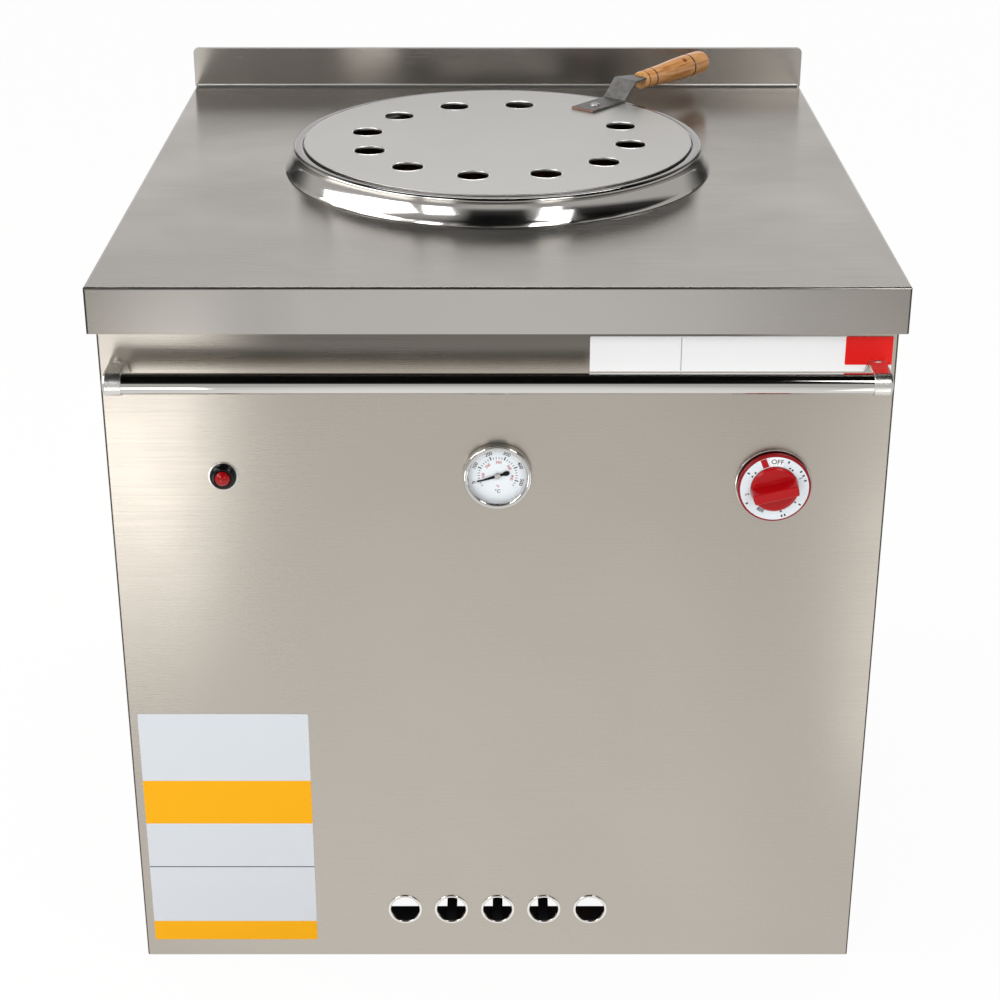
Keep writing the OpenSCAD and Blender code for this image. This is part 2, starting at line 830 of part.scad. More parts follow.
// Outer line of the mouth ring from the mouth's edge over the shoulder to the counter
ring_line = [
    [mouth_r, -neck_drop],
    [mouth_r, ring_seat - counter_h - 4],
    [mouth_r + 1.2, ring_seat - counter_h - 1.2],
    [mouth_r + 4, ring_seat - counter_h],
    [lid_r + lid_gap, ring_seat - counter_h],
    [lid_r + 2, ring_seat - counter_h + 0.7 * band_rise],
    [lid_r + 6, ring_seat - counter_h + band_rise],
    for (a = [90:-11:-20])
        [ring_shoulder_r - shoulder_r + shoulder_r * cos(a), shoulder_z - counter_h + shoulder_r * sin(a)],
    for (t = [0.2:0.2:0.8])
        let (x0 = ring_shoulder_r - 0.3, z0 = shoulder_z - counter_h - 1.6)
        [
            x0 + (ring_base_r - x0) * t - skirt_hollow * sin(180 * t),
            z0 + (skirt_foot - z0) * t - skirt_hollow * sin(180 * t)
        ],
    [ring_base_r, skirt_foot]
];

module mouth_ring() {
    s = ring_sheet;
    in_line = [
        [ring_base_r - 1, seat_gap],
        [ring_base_r - 4, seat_gap],
        [(ring_shoulder_r + ring_base_r) / 2 - skirt_hollow - s - 0.5, (shoulder_z - counter_h) / 2 - 1],
        [ring_shoulder_r - s - 0.2, shoulder_z - counter_h - 1.5],
        [ring_shoulder_r - s - 0.8, shoulder_z - counter_h + 0.4 * shoulder_r],
        [ring_shoulder_r - shoulder_r, shoulder_z - counter_h + shoulder_r - s],
        [lid_r + lid_gap, ring_seat - counter_h - s],
        [mouth_r + 4, ring_seat - counter_h - s],
        [mouth_r + s, ring_seat - counter_h - 5],
        [mouth_r + s, -neck_drop]
    ];
    color("gainsboro")
        translate([0, pot_y, counter_h])
            rotate_extrude($fn = 180) polygon(concat(ring_line, in_line));
}

module rim_gasket() {
    color("ivory")
        translate([0, pot_y, pot_top + seat_gap])
            difference() {
                cylinder(r = pot_mouth_r + pot_wall - 2, h = gasket_t);
                translate([0, 0, -1]) cylinder(r = pot_mouth_r, h = gasket_t + 2);
            }
}

module clay_pot() {
    color("chocolate") difference() {
        translate([0, pot_y, 0])
            rotate_extrude($fn = 180)
                polygon(concat(pot_line(0), [for (i = [pot_steps:-1:0]) pot_line(pot_wall)[i]]));
        translate([0, 0, thermo_z]) bar_y(probe_r + probe_tunnel, front_y, pot_y);
    }
}

module insulation_fill() {
    half_x = inner_side - 3 * seat_gap;
    half_y = inner_rear - 3 * seat_gap;
    low = pot_foot;
    top = pot_top;
    pocket = 12;
    color("lightgoldenrodyellow") difference() {
        translate([-half_x, -half_y, low]) cube([2 * half_x, 2 * half_y, top - low]);
        translate([0, pot_y, 0])
            rotate_extrude($fn = 180)
                polygon(concat(
                    [[0, low - 1]],
                    [[pot_line(pot_wall + 1)[0][0], low - 1]],
                    pot_line(pot_wall + 1),
                    [[pot_line(pot_wall + 1)[pot_steps][0], top + 1]],
                    [[0, top + 1]]
                ));
        post_room(low - 1, top + 1);
        right_chase(low - 1, knob_z);
        left_chase(low - 1, igniter_z);
        translate([knob_x - knob_bezel_r - pocket, front_y, knob_z - valve_h / 2 - pocket])
            cube([
                2 * (knob_bezel_r + pocket),
                valve_front + valve_d + pocket - front_y,
                valve_h + 2 * pocket
            ]);
        translate([igniter_x, 0, igniter_z]) bar_y(2 * chase_pad, front_y, lead_y + chase_pad);
        translate([0, 0, thermo_z]) bar_y(2 * boss_r, front_y, inner_front + boss_len + nut_t);
        translate([0, 0, thermo_z]) bar_y(probe_r + probe_tunnel, front_y, pot_y);
        for (sx = [-1, 1])
            translate([sx * rail_post_x, 0, rail_z]) bar_y(2 * rail_screw_head, front_y, front_y + 12);
    }
}

// ---------- towel rail and labels ----------

module rail_bar() {
    half = rail_end_x - rail_cap_len + bar_insert;
    color("lightgray")
        translate([-half, rail_y, rail_z]) rotate([0, 90, 0]) cylinder(r = rail_r, h = 2 * half);
}

// A rail bracket's outline on the front panel, made bigger by e, as a bar along Y
module bracket_foot(e, y0, y1) {
    half_h = bracket_arm_h / 2 + e;
    bar_y(bracket_foot_r + e, y0, y1);
    translate([0, y0, -half_h]) plate_xz(bracket_arm_w + 2 * e, 2 * half_h, y1 - y0, 2);
}

module rail_brackets() {
    foot_t = 4;
    seat_y = front_y - seat_gap / 2;
    color("lightgray")
        for (sx = [-1, 1])
            difference() {
                union() {
                    translate([sx * rail_post_x, 0, rail_z]) {
                        bracket_foot(0, seat_y - foot_t, seat_y);
                        translate([0, rail_y, -bracket_arm_h / 2])
                            plate_xz(bracket_arm_w, bracket_arm_h, seat_y - rail_y, 2);
                    }
                    translate([sx * rail_post_x, rail_y, rail_z])
                        rotate([0, sx * 90, 0])
                            translate([0, 0, -rail_cap_len / 2])
                                rotate_extrude()
                                    polygon([
                                        [0, 0],
                                        [rail_cap_r - 0.6, 0],
                                        [rail_cap_r, 0.6],
                                        [rail_cap_r, rail_cap_len - 3],
                                        [rail_cap_r - 1, rail_cap_len - 1],
                                        [rail_cap_r - 3, rail_cap_len],
                                        [0, rail_cap_len]
                                    ]);
                }
                translate([sx * rail_post_x, rail_y, rail_z])
                    rotate([0, sx * 90, 0])
                        translate([0, 0, -rail_cap_len / 2 - 1])
                            cylinder(r = rail_r + cap_bore_gap, h = bar_insert + 1.2);
                translate([sx * rail_post_x, 0, rail_z])
                    bar_y(rail_screw_r + 0.05, front_y - rail_screw_len - 1, front_y + 1);
            }
}

module rail_screws() {
    head_y = inner_front + seat_gap + post_wall + seat_gap / 2;
    color("silver")
        for (sx = [-1, 1])
            translate([sx * rail_post_x, 0, rail_z]) {
                bar_y(rail_screw_r, front_y - rail_screw_len, head_y + 1);
                bar_y(rail_screw_head, head_y, head_y + rail_screw_head_t);
            }
}

module rating_label() {
    color("white")
        translate([rating_x + rating_w / 2, front_y - label_t, rating_z])
            plate_xz(rating_w, rating_h, label_t, 2);
}

module name_plate() {
    color("white") difference() {
        translate([name_x + name_w / 2, front_y - label_t, name_z]) plate_xz(name_w, name_h, label_t, 1);
        translate([rail_post_x, 0, rail_z]) bracket_foot(0.3, front_y - 1, front_y + 1);
    }
}

module badge_plate() {
    color("crimson") difference() {
        translate([badge_x + badge_w / 2, front_y - 2 * label_t, badge_z])
            plate_xz(badge_w, badge_h, label_t, 1);
        translate([rail_post_x, 0, rail_z]) bracket_foot(0.3, front_y - 2, front_y + 1);
    }
}

// ---------- thermometer ----------

module thermometer_case() {
    color("gainsboro") translate([0, 0, thermo_z])
        difference() {
            bar_y(thermo_case_r, thermo_front, front_y - eps);
            bar_y(case_bore_r, thermo_front - 1, dial_y);
            bar_y(pivot_r + pivot_gap, thermo_front, front_y + 1);
        }
}

module thermometer_rim() {
    r1 = thermo_case_r + 0.05;
    lip = 2.4;
    color("gainsboro") translate([0, thermo_front, thermo_z])
        rotate([90, 0, 0])
            rotate_extrude()
                polygon([
                    [r1, -thermo_depth + 1],
                    [r1 + thermo_rim, -thermo_depth + 1],
                    [r1 + thermo_rim, 0],
                    for (a = [0:15:180])
                        [r1 + thermo_rim - 3 + 3 * cos(a), lip * sin(a)],
                    [case_bore_r - 1.5, 0.1],
                    [r1, 0.1]
                ]);
}

module thermometer_dial() {
    color("white") translate([0, 0, thermo_z])
        ring_y(case_bore_r - 0.1, pivot_r + pivot_gap, dial_y - dial_t, dial_y - eps);
}

module thermometer_glass() {
    color([0.8, 0.9, 0.95, 0.3]) translate([0, 0, thermo_z])
        bar_y(case_bore_r - 0.1, thermo_front, thermo_front + glass_t);
}

module thermometer_pointer() {
    hub = 3.2;
    tail = 12;
    color("black")
        translate([0, pointer_y, thermo_z])
            rotate([90, 0, 0])
                rotate([0, 0, 90 - pointer_rest])
                    difference() {
                        union() {
                            linear_extrude(pointer_t)
                                polygon([
                                    [-tail - 1.5, -1.2],
                                    [-tail + 0.5, -2.7],
                                    [-tail + 3, -2.7],
                                    [-tail + 6, -1.5],
                                    [0, -1.8],
                                    [pointer_len - 1, -0.5],
                                    [pointer_len, 0],
                                    [pointer_len - 1, 0.5],
                                    [0, 1.8],
                                    [-tail + 6, 1.5],
                                    [-tail + 3, 2.7],
                                    [-tail + 0.5, 2.7],
                                    [-tail - 1.5, 1.2]
                                ]);
                            cylinder(r = hub, h = pointer_t + 0.6);
                        }
                        translate([0, 0, -1]) cylinder(r = pivot_r + 0.02, h = 4, $fn = 32);
                    }
}

module pointer_pivot() {
    color("silver") translate([0, 0, thermo_z]) {
        bar_y(pivot_r, pointer_y - pointer_t - 0.7, front_y + 3);
        bar_y(2 * pivot_r, pointer_y - pointer_t - 1.2, pointer_y - pointer_t - 0.61);
    }
}

module thermometer_probe() {
    color("silver") translate([0, 0, thermo_z])
        difference() {
            union() {
                bar_y(boss_r, front_y + eps, front_y + boss_len);
                bar_y(probe_r, front_y + boss_len - 1, probe_tip_y - probe_r);
                translate([0, probe_tip_y - probe_r, 0]) rotate([-90, 0, 0])
                    rotate_extrude($fn = 48)
                        intersection() {
                            circle(probe_r, $fn = 48);
                            square(probe_r);
                        }
            }
            bar_y(pivot_r + pivot_gap, front_y - 1, front_y + 4);
        }
}

module thermometer_nut() {
    color("silver") translate([0, 0, thermo_z])
        nut_y(22, boss_r + 0.05, inner_front + seat_gap / 2, inner_front + nut_t);
}

// ---------- gas knob and valve ----------

module knob_bezel() {
    color("silver") translate([knob_x, 0, knob_z])
        translate([0, front_y - seat_gap / 2, 0])
            rotate([90, 0, 0])
                rotate_extrude()
                    polygon([
                        [spindle_r + 1.5, 0],
                        [knob_bezel_r, 0],
                        [knob_bezel_r, knob_bezel_t - 1],
                        [knob_bezel_r - 0.4, knob_bezel_t - 0.4],
                        [knob_bezel_r - 1.2, knob_bezel_t - seat_gap / 2],
                        [spindle_r + 1.5, knob_bezel_t - seat_gap / 2]
                    ]);
}

module knob_skirt() {
    color("darkred") translate([knob_x, skirt_back, knob_z])
        rotate([90, 0, 0])
            rotate_extrude()
                polygon([
                    [spindle_r + 0.02, 0],
                    [skirt_r - 1.2, 0],
                    [skirt_r, 1],
                    [skirt_r, skirt_t - 1.2],
                    [skirt_r - 0.9, skirt_t - 0.2],
                    [scale_r + 0.6, skirt_t],
                    [spindle_r + 0.02, skirt_t]
                ]);
}

module knob_scale() {
    color("white") translate([knob_x, 0, knob_z])
        ring_y(scale_r, scale_in_r, skirt_front - 0.6, skirt_front - eps);
}

module knob_grip() {
    r = grip_foot_r;
    foot = grip_foot_t;
    top = foot + grip_bar_h;
    slope = 2.5;
    color("red") translate([knob_x, skirt_front - eps, knob_z])
        rotate([90, 0, 0])
            rotate([0, 0, grip_tilt])
                difference() {
                    intersection() {
                        rotate_extrude()
                            polygon([
                                [0, 0],
                                [r, 0],
                                [r, foot],
                                [r - 1, top - 3],
                                [r - 3, top],
                                [0, top]
                            ]);
                        union() {
                            cylinder(r = r, h = foot - 1);
                            translate([0, 0, foot - 1])
                                rotate_extrude()
                                    polygon([[0, 0], [r, 0], [r - 2, 1.6], [0, 2.4]]);
                            rotate([90, 0, 90]) translate([0, 0, -r])
                                linear_extrude(2 * r)
                                    polygon([
                                        [-grip_bar_w / 2, 0],
                                        [grip_bar_w / 2, 0],
                                        [grip_bar_w / 2 - slope, top - 1],
                                        [grip_bar_w / 2 - slope - 1, top],
                                        [-grip_bar_w / 2 + slope + 1, top],
                                        [-grip_bar_w / 2 + slope, top - 1]
                                    ]);
                        }
                    }
                    translate([0, 0, -1])
                        cylinder(r = spindle_r + 0.02, h = 1 + skirt_front - spindle_front + 0.3);
                }
}

module valve_spindle() {
    color("silver") translate([knob_x, 0, knob_z]) {
        bar_y(spindle_r, spindle_front, spindle_back);
        bar_y(collar_r, collar_y, collar_y + collar_t - eps);
    }
}

module thrust_washer() {
    color("goldenrod") translate([knob_x, 0, knob_z])
        ring_y(washer_r, spindle_r + pivot_gap, washer_y, washer_y + washer_t);
}

module return_spring() {
    color("gray") translate([knob_x, 0, knob_z])
        spring_y(spindle_r + 2.6, 0.6, 5, washer_y + washer_t + 0.05, bonnet_y - 0.05);
}

module gas_valve() {
    color("tan") difference() {
        union() {
            translate([valve_x - valve_w / 2, valve_front, valve_bottom]) cube([valve_w, valve_d, valve_h]);
            translate([knob_x, 0, knob_z]) bar_y(washer_r + 3, bonnet_y, valve_front + 1);
        }
        translate([knob_x, 0, knob_z])
            bar_y(spindle_r + pivot_gap, bonnet_y - 1, spindle_back + knob_push + 1);
    }
}

module valve_bracket() {
    wide = valve_w / 2 + seat_gap;
    deep = valve_front + bracket_reach - inner_front;
    color("silver") translate([valve_x, inner_front + seat_gap / 2, valve_bottom])
        union() {
            difference() {
                translate([-wide - bracket_t, 0, 0]) cube([2 * (wide + bracket_t), bracket_t, valve_h]);
                translate([knob_x - valve_x, -1, valve_h / 2]) bar_y(collar_r + 1, 0, bracket_t + 2);
            }
            for (x = [-wide - bracket_t, wide])
                translate([x, 0, 0]) cube([bracket_t, deep, valve_h]);
        }
}

// ---------- igniter ----------

module igniter_washer() {
    color("gainsboro") translate([igniter_x, 0, igniter_z])
        ring_y(igniter_washer_r, igniter_barrel_r + 0.1, washer_front, front_y - seat_gap / 2);
}

module igniter_bezel() {
    bore = igniter_button_r + button_gap;
    h = washer_front - igniter_bezel_front;
    color("black") translate([igniter_x, washer_front - seat_gap / 2, igniter_z])
        rotate([90, 0, 0])
            rotate_extrude()
                polygon([
                    [bore, 0],
                    [igniter_bezel_r, 0],
                    for (a = [0:15:90])
                        [
                            igniter_bezel_r - (igniter_bezel_r - bore - 1.2) * (1 - cos(a)),
                            1 + (h - 1 - seat_gap / 2) * sin(a)
                        ],
                    [bore, h - 0.6]
                ]);
}

module igniter_barrel() {
    color("dimgray") translate([igniter_x, 0, igniter_z])
        difference() {
            bar_y(igniter_barrel_r, washer_front, barrel_back);
            bar_y(igniter_button_r + button_gap, washer_front - 1, barrel_back - barrel_floor);
        }
}

module igniter_nut() {
    color("gray") translate([igniter_x, 0, igniter_z])
        nut_y(27, igniter_barrel_r + 0.05, inner_front + seat_gap / 2, inner_front + 6);
}

module igniter_button() {
    color("firebrick") translate([igniter_x, 0, igniter_z])
        translate([0, button_back, 0])
            rotate([90, 0, 0])
                rotate_extrude()
                    polygon([
                        [0, 0],
                        [igniter_button_r, 0],
                        for (a = [0:15:90])
                            [
                                igniter_button_r * cos(a),
                                button_back - button_front - dome_h * (1 - sin(a))
                            ]
                    ]);
}

module igniter_spring() {
    color("silver") translate([igniter_x, 0, igniter_z])
        spring_y(igniter_spring_r, 0.6, 6, button_back + 0.05, barrel_back - barrel_floor - 0.05);
}

module ignition_lead() {
    color("orangered")
        pipe(
            [
                [igniter_x, barrel_back + 0.05, igniter_z],
                [igniter_x, lead_y, igniter_z],
                [igniter_x, lead_y, pilot_run_z],
                [spark_x, lead_y, pilot_run_z],
                [spark_x, pilot_y, pilot_run_z],
                [spark_x, pilot_y, pilot_block_z - 6]
            ],
            spark_lead_r, lead_bend_r
        );
}

module spark_electrode() {
    color("white") translate([spark_x, pilot_y, pilot_block_z - 6 + 0.05]) {
        cylinder(r = 3.9, h = pilot_block_h + 16, $fn = 32);
        translate([0, 0, pilot_block_h + 15]) cylinder(r = 1, h = 8, $fn = 24);
    }
}

// ---------- gas train ----------

module supply_pipe() {
    color("gray")
        pipe(
            [
                [supply_x, inner_rear - nipple_in, supply_z],
                [supply_x, pipe_y, supply_z],
                [supply_x, pipe_y, valve_bottom - 0.05]
            ],
            supply_r, supply_bend_r
        );
}

module inlet_nipple() {
    hex_len = 12;
    color("gray") translate([supply_x, 0, supply_z])
        difference() {
            union() {
                bar_y(inlet_r - 1, inner_rear - nipple_in + 0.1, inner_rear);
                translate([0, inner_rear - hex_len, 0]) rotate([-90, 0, 0])
                    cylinder(r = inlet_collar_r + 3, h = hex_len - seat_gap, $fn = 6);
                bar_y(inlet_collar_r, inner_rear - 1, rear_y + 1);
                bar_y(inlet_r, rear_y, rear_y + 1 + inlet_len);
            }
            bar_y(inlet_r - 3, inner_rear - nipple_in + 5, rear_y + inlet_len + 2);
        }
}

module feed_tube() {
    color("lightgray")
        pipe(
            [
                [feed_x, pipe_y, valve_bottom - 0.05],
                [feed_x, pipe_y, burner_z],
                [feed_x, pot_y, burner_z],
                [orifice_x + orifice_len + 0.05, pot_y, burner_z]
            ],
            feed_r, feed_bend_r
        );
}

module gas_orifice() {
    color("goldenrod") translate([orifice_x, pot_y, burner_z]) rotate([0, 90, 0])
        difference() {
            union() {
                cylinder(r1 = 5, r2 = 9, h = 6);
                translate([0, 0, 6]) cylinder(r = 9, h = orifice_len - 6, $fn = 6);
            }
            translate([0, 0, -1]) cylinder(r = 1.2, h = 5, $fn = 24);
        }
}

// A point on the burner's ring over one of the bars
function on_ring(x, s) = [x, pot_y + s * sqrt(burner_ring_r * burner_ring_r - x * x)];

module ring_burner() {
    horn = orifice_x - 4 - burner_ring_r;
    ports = 24;
    color("dimgray") difference() {
        union() {
            translate([0, pot_y, burner_z])
                rotate_extrude() translate([burner_ring_r - ring_half, -ring_half]) square(2 * ring_half);
            translate([burner_ring_r, pot_y, burner_z]) rotate([0, 90, 0]) cylinder(r = 11, h = horn - 24);
            translate([burner_ring_r + horn - 24, pot_y, burner_z]) rotate([0, 90, 0])
                cylinder(r1 = 11, r2 = 20, h = 24);
            for (p = [on_ring(0, 1), on_ring(bar_pitch, -1), on_ring(-bar_pitch, -1)])
                translate([p[0], p[1], bar_seat])
                    cylinder(r = 5.5, h = burner_under - bar_seat + 1, $fn = 32);
        }
        translate([0, pot_y, burner_z])
            rotate_extrude()
                translate([burner_ring_r - ring_half + 4, -ring_half + 4]) square(2 * ring_half - 8);
        translate([burner_ring_r, pot_y, burner_z]) rotate([0, 90, 0]) cylinder(r = 7, h = horn - 24 + 1);
        translate([burner_ring_r + horn - 24, pot_y, burner_z]) rotate([0, 90, 0])
            cylinder(r1 = 7, r2 = 16, h = 24 + eps);
        for (i = [0:ports - 1])
            translate([0, pot_y, burner_z]) rotate([0, 0, (i + 0.5) * 360 / ports])
                translate([burner_ring_r, 0, ring_half - 5]) cylinder(r = 1.6, h = 6, $fn = 16);
    }
}

module burner_bars() {
    color("dimgray")
        for (i = [-1:1])
            translate([i * bar_pitch - bar_w / 2, frame_front, post_foot])
                cube([bar_w, frame_rear - frame_front, bar_t]);
}

module pilot_burner() {
    stand = 4;
    x0 = bar_pitch - bar_w / 2;
    color("silver") difference() {
        union() {
            translate([x0, pilot_y - 7, pilot_block_z]) cube([couple_x + 9 - x0, 14, pilot_block_h]);
            translate([x0, pilot_y - 7, bar_seat]) cube([stand, 14, pilot_block_z - bar_seat + 1]);
            translate([pilot_x, pilot_y, pilot_block_z + pilot_block_h - 1])
                cylinder(r = 6, h = 14, $fn = 32);
        }
        translate([spark_x, pilot_y, pilot_block_z - 1]) cylinder(r = 4, h = pilot_block_h + 2, $fn = 32);
        translate([pilot_x, pilot_y, pilot_block_z - 1]) cylinder(r = pilot_tube_r + 0.1, h = 13, $fn = 32);
        translate([couple_x, pilot_y, pilot_block_z - 1]) cylinder(r = 3.1, h = pilot_block_h + 2, $fn = 32);
        translate([pilot_x, pilot_y, pilot_block_z + 16]) cylinder(r = 1, h = 30, $fn = 16);
    }
}

module pilot_tube() {
    x = knob_x - 1;
    color("darkgoldenrod")
        pipe(
            [
                [x, tube_y, valve_bottom - 0.05],
                [x, tube_y, pilot_run_z],
                [pilot_x, tube_y, pilot_run_z],
                [pilot_x, pilot_y, pilot_run_z],
                [pilot_x, pilot_y, pilot_block_z + 11]
            ],
            pilot_tube_r, 8
        );
}

module thermocouple() {
    x = knob_x + 11;
    color("peru") {
        pipe(
            [
                [x, tube_y, valve_bottom - 0.05],
                [x, tube_y, couple_run_z],
                [couple_x, tube_y, couple_run_z],
                [couple_x, pilot_y, couple_run_z],
                [couple_x, pilot_y, pilot_block_z - 4]
            ],
            couple_lead_r, 8
        );
        translate([couple_x, pilot_y, pilot_block_z - 5]) cylinder(r = 3, h = pilot_block_h + 28, $fn = 32);
    }
}

module flame_deflector() {
    z = platform_h + deflector_rise;
    t = 3;
    color("gray") translate([0, pot_y, 0]) {
        translate([0, 0, z])
            rotate_extrude()
                polygon([[0, 8], [deflector_r, 0], [deflector_r, t], [0, 8 + t]]);
        for (a = [30, 150, 270]) rotate([0, 0, a])
            translate([0, deflector_foot_w / 2, 0]) rotate([90, 0, 0])
                linear_extrude(deflector_foot_w)
                    polygon([
                        [deflector_r - 12, z + 1.5],
                        [deflector_foot_r + 6, z + 1.5],
                        [deflector_foot_r + 6, platform_h + seat_gap],
                        [deflector_foot_r + 3, platform_h + seat_gap],
                        [deflector_foot_r + 3, z + 1.5 - t],
                        [deflector_r - 12, z + 1.5 - t]
                    ]);
    }
}

// ---------- lid ----------

module lid_disc() {
    spots = floor(360 / hole_step);
    color("lightgray") translate([0, pot_y, lid_under])
        difference() {
            cylinder(r = lid_r, h = lid_t, $fn = 180);
            for (i = [1:spots - 1])
                rotate([0, 0, handle_angle + i * hole_step])
                    translate([lid_hole_ring, 0, -1]) cylinder(d = lid_hole_d, h = lid_t + 2, $fn = 48);
            rotate([0, 0, handle_angle])
                translate([rivet_r, 0, -1]) cylinder(r = rivet_shank_r, h = lid_t + 2, $fn = 32);
        }
}

// The strap's outline from the side: r along, z up, with the given thickness line
function strap_side(e) = [
    [strap_foot_r, strap_foot_z + e],
    [strap_bend_r - (e > 0 ? 1.5 : 0), strap_foot_z + e],
    [strap_bend_r + strap_slope - (e > 0 ? 1.5 : 0), strap_top_z + e],
    [tang_end_r, strap_top_z - strap_fall * (tang_end_r - strap_bend_r - strap_slope) / 30 * 0.5 + e]
];

module handle_strap() {
    upper = strap_side(strap_t);
    neck_r = strap_bend_r + strap_slope + 6;
    color("gray") translate([0, pot_y, 0]) rotate([0, 0, handle_angle])
        difference() {
            intersection() {
                translate([0, strap_w / 2, 0]) rotate([90, 0, 0])
                    linear_extrude(strap_w)
                        polygon(concat(strap_side(0), [for (i = [len(upper) - 1:-1:0]) upper[i]]));
                translate([0, 0, lid_top])
                    linear_extrude(strap_rise + 20)
                        polygon([
                            [strap_foot_r, -strap_w / 2],
                            [neck_r, -strap_w / 2],
                            [grip_front_r - 0.5, -tang_w / 2 - 5],
                            [grip_front_r - 0.5, -tang_w / 2],
                            [tang_end_r, -tang_w / 2],
                            [tang_end_r, tang_w / 2],
                            [grip_front_r - 0.5, tang_w / 2],
                            [grip_front_r - 0.5, tang_w / 2 + 5],
                            [neck_r, strap_w / 2],
                            [strap_foot_r, strap_w / 2]
                        ]);
            }
            translate([rivet_r, 0, lid_top]) cylinder(r = rivet_shank_r, h = 10, $fn = 32);
        }
}

module handle_rivet() {
    top = strap_foot_z + strap_t;
    color("silver") translate([0, pot_y, 0]) rotate([0, 0, handle_angle]) translate([rivet_r, 0, 0]) {
        translate([0, 0, lid_under - 1.5])
            cylinder(r = rivet_shank_r - 0.02, h = top + 2 - lid_under, $fn = 32);
        translate([0, 0, top + 0.02])
            rotate_extrude($fn = 48)
                polygon([[0, 0], for (a = [0:15:90]) [rivet_head_r * cos(a), 2.2 * sin(a)]]);
        translate([0, 0, lid_under - 1.52]) cylinder(r = rivet_shank_r + 2, h = 1.5, $fn = 32);
    }
}

module handle_grip() {
    n = 8;
    slot_low = strap_side(0);
    slot_high = strap_side(strap_t);
    color("peru") translate([0, pot_y, 0]) rotate([0, 0, handle_angle])
        difference() {
            translate([grip_front_r, 0, grip_axis_z]) rotate([0, 90, 0])
                rotate_extrude($fn = 64)
                    polygon([
                        [0, 0],
                        [grip_r - 5.5, 0],
                        [grip_r - 4.6, 1],
                        [grip_r - 4.2, 3],
                        [grip_r - 4.2, 7],
                        [grip_r - 5, 9],
                        [grip_r - 4.1, 11],
                        [grip_r - 3.6, 24],
                        [grip_r - 4.6, 25.5],
                        [grip_r - 3.5, 27],
                        [grip_r - 3, grip_len * 0.3],
                        [grip_r - 1.4, grip_len * 0.47],
                        [grip_r - 0.3, grip_len * 0.62],
                        [grip_r - 0.1, grip_len - 45.5],
                        [grip_r - 1.3, grip_len - 44],
                        [grip_r - 0.1, grip_len - 42.5],
                        [grip_r, grip_len - 28],
                        for (i = [0:n])
                            [(grip_r - 0.4) * cos(i * 90 / n), grip_len - 16 + 16 * sin(i * 90 / n)]
                    ]);
            translate([0, tang_w / 2 + tang_gap, 0]) rotate([90, 0, 0])
                linear_extrude(tang_w + 2 * tang_gap)
                    polygon([
                        slot_low[2] - [0, tang_gap],
                        slot_low[3] + [1, -tang_gap],
                        slot_high[3] + [1, tang_gap],
                        slot_high[2] + [0, tang_gap]
                    ]);
        }
}

base_frame();
caster_pads();
corner_posts();
platform_legs();
pot_platform();
front_panel();
left_panel();
right_panel();
rear_panel();
rear_screws();
counter_top();
mouth_ring();
rim_gasket();
clay_pot();
insulation_fill();
rail_bar();
rail_brackets();
rail_screws();
rating_label();
name_plate();
badge_plate();
thermometer_case();
thermometer_rim();
thermometer_dial();
thermometer_glass();
thermometer_pointer();
pointer_pivot();
thermometer_probe();
thermometer_nut();
knob_bezel();
knob_skirt();
knob_scale();
knob_grip();
valve_spindle();
thrust_washer();
return_spring();
gas_valve();
valve_bracket();
igniter_washer();
igniter_bezel();
igniter_barrel();
igniter_nut();
igniter_button();
igniter_spring();
ignition_lead();
spark_electrode();
supply_pipe();
inlet_nipple();
feed_tube();
gas_orifice();
ring_burner();
burner_bars();
pilot_burner();
pilot_tube();
thermocouple();
flame_deflector();
lid_disc();
handle_strap();
handle_rivet();
handle_grip();
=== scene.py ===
"""Dresses the packed clay tandoor oven: its finishes, its printed marks and its studio.

Lengths are in metres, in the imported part's own frame: +Z up, the front faces -Y.
"""

import math

import bmesh
import bpy
from mathutils import Matrix, Vector


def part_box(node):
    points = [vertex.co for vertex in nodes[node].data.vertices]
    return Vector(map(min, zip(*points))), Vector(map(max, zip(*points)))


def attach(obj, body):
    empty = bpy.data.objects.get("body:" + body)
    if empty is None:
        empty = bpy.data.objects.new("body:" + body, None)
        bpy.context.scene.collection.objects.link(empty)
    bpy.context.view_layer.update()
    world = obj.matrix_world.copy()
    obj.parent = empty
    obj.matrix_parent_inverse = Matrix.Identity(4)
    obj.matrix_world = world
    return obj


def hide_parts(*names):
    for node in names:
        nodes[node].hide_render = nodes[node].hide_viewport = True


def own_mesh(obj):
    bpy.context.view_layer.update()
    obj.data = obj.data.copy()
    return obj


bl_info = {
    "name": "Clay Tandoor Oven",
    "version": (1, 0, 0),
    "blender": (4, 5, 0),
    "location": "3D View > Sidebar > Tandoor",
    "description": "Finishes, printed marks and studio for the packed clay tandoor oven",
    "category": "Object",
}

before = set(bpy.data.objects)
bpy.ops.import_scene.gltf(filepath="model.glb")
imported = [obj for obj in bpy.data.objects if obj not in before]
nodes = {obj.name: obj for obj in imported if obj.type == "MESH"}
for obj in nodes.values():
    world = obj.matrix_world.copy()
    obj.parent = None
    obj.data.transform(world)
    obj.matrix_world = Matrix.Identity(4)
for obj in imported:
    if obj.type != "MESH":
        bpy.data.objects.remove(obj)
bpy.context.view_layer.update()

MM = 0.001
# Ink and paint stand this far proud of what they are printed on, and the OFF word further
PRINT = 0.06 * MM
WORD = 3 * PRINT
# Printed strokes are thickened by this share of the letters' size
BOLD = 1 / 60
# The splash is this thick, and the counter's top face this far above the front panel's edge
SPLASH = 8 * MM
COUNTER_STEP = 1.7 * MM
# Radius of the inside bend at the splash's foot
COVE = 4 * MM
# The lid's holes: their number, the angle from one to the next, their radius, and how far their
# middles are inside the lid's edge
HOLES = 11
HOLE_STEP = math.radians(30)
HOLE_R = 18.5 * MM
HOLE_INSET = 74 * MM
# The plate's printed divider: its place across the front, its width and its gap at each end
RULE_X = 195 * MM
RULE_WIDTH = 1 * MM
RULE_GAP = 1 * MM
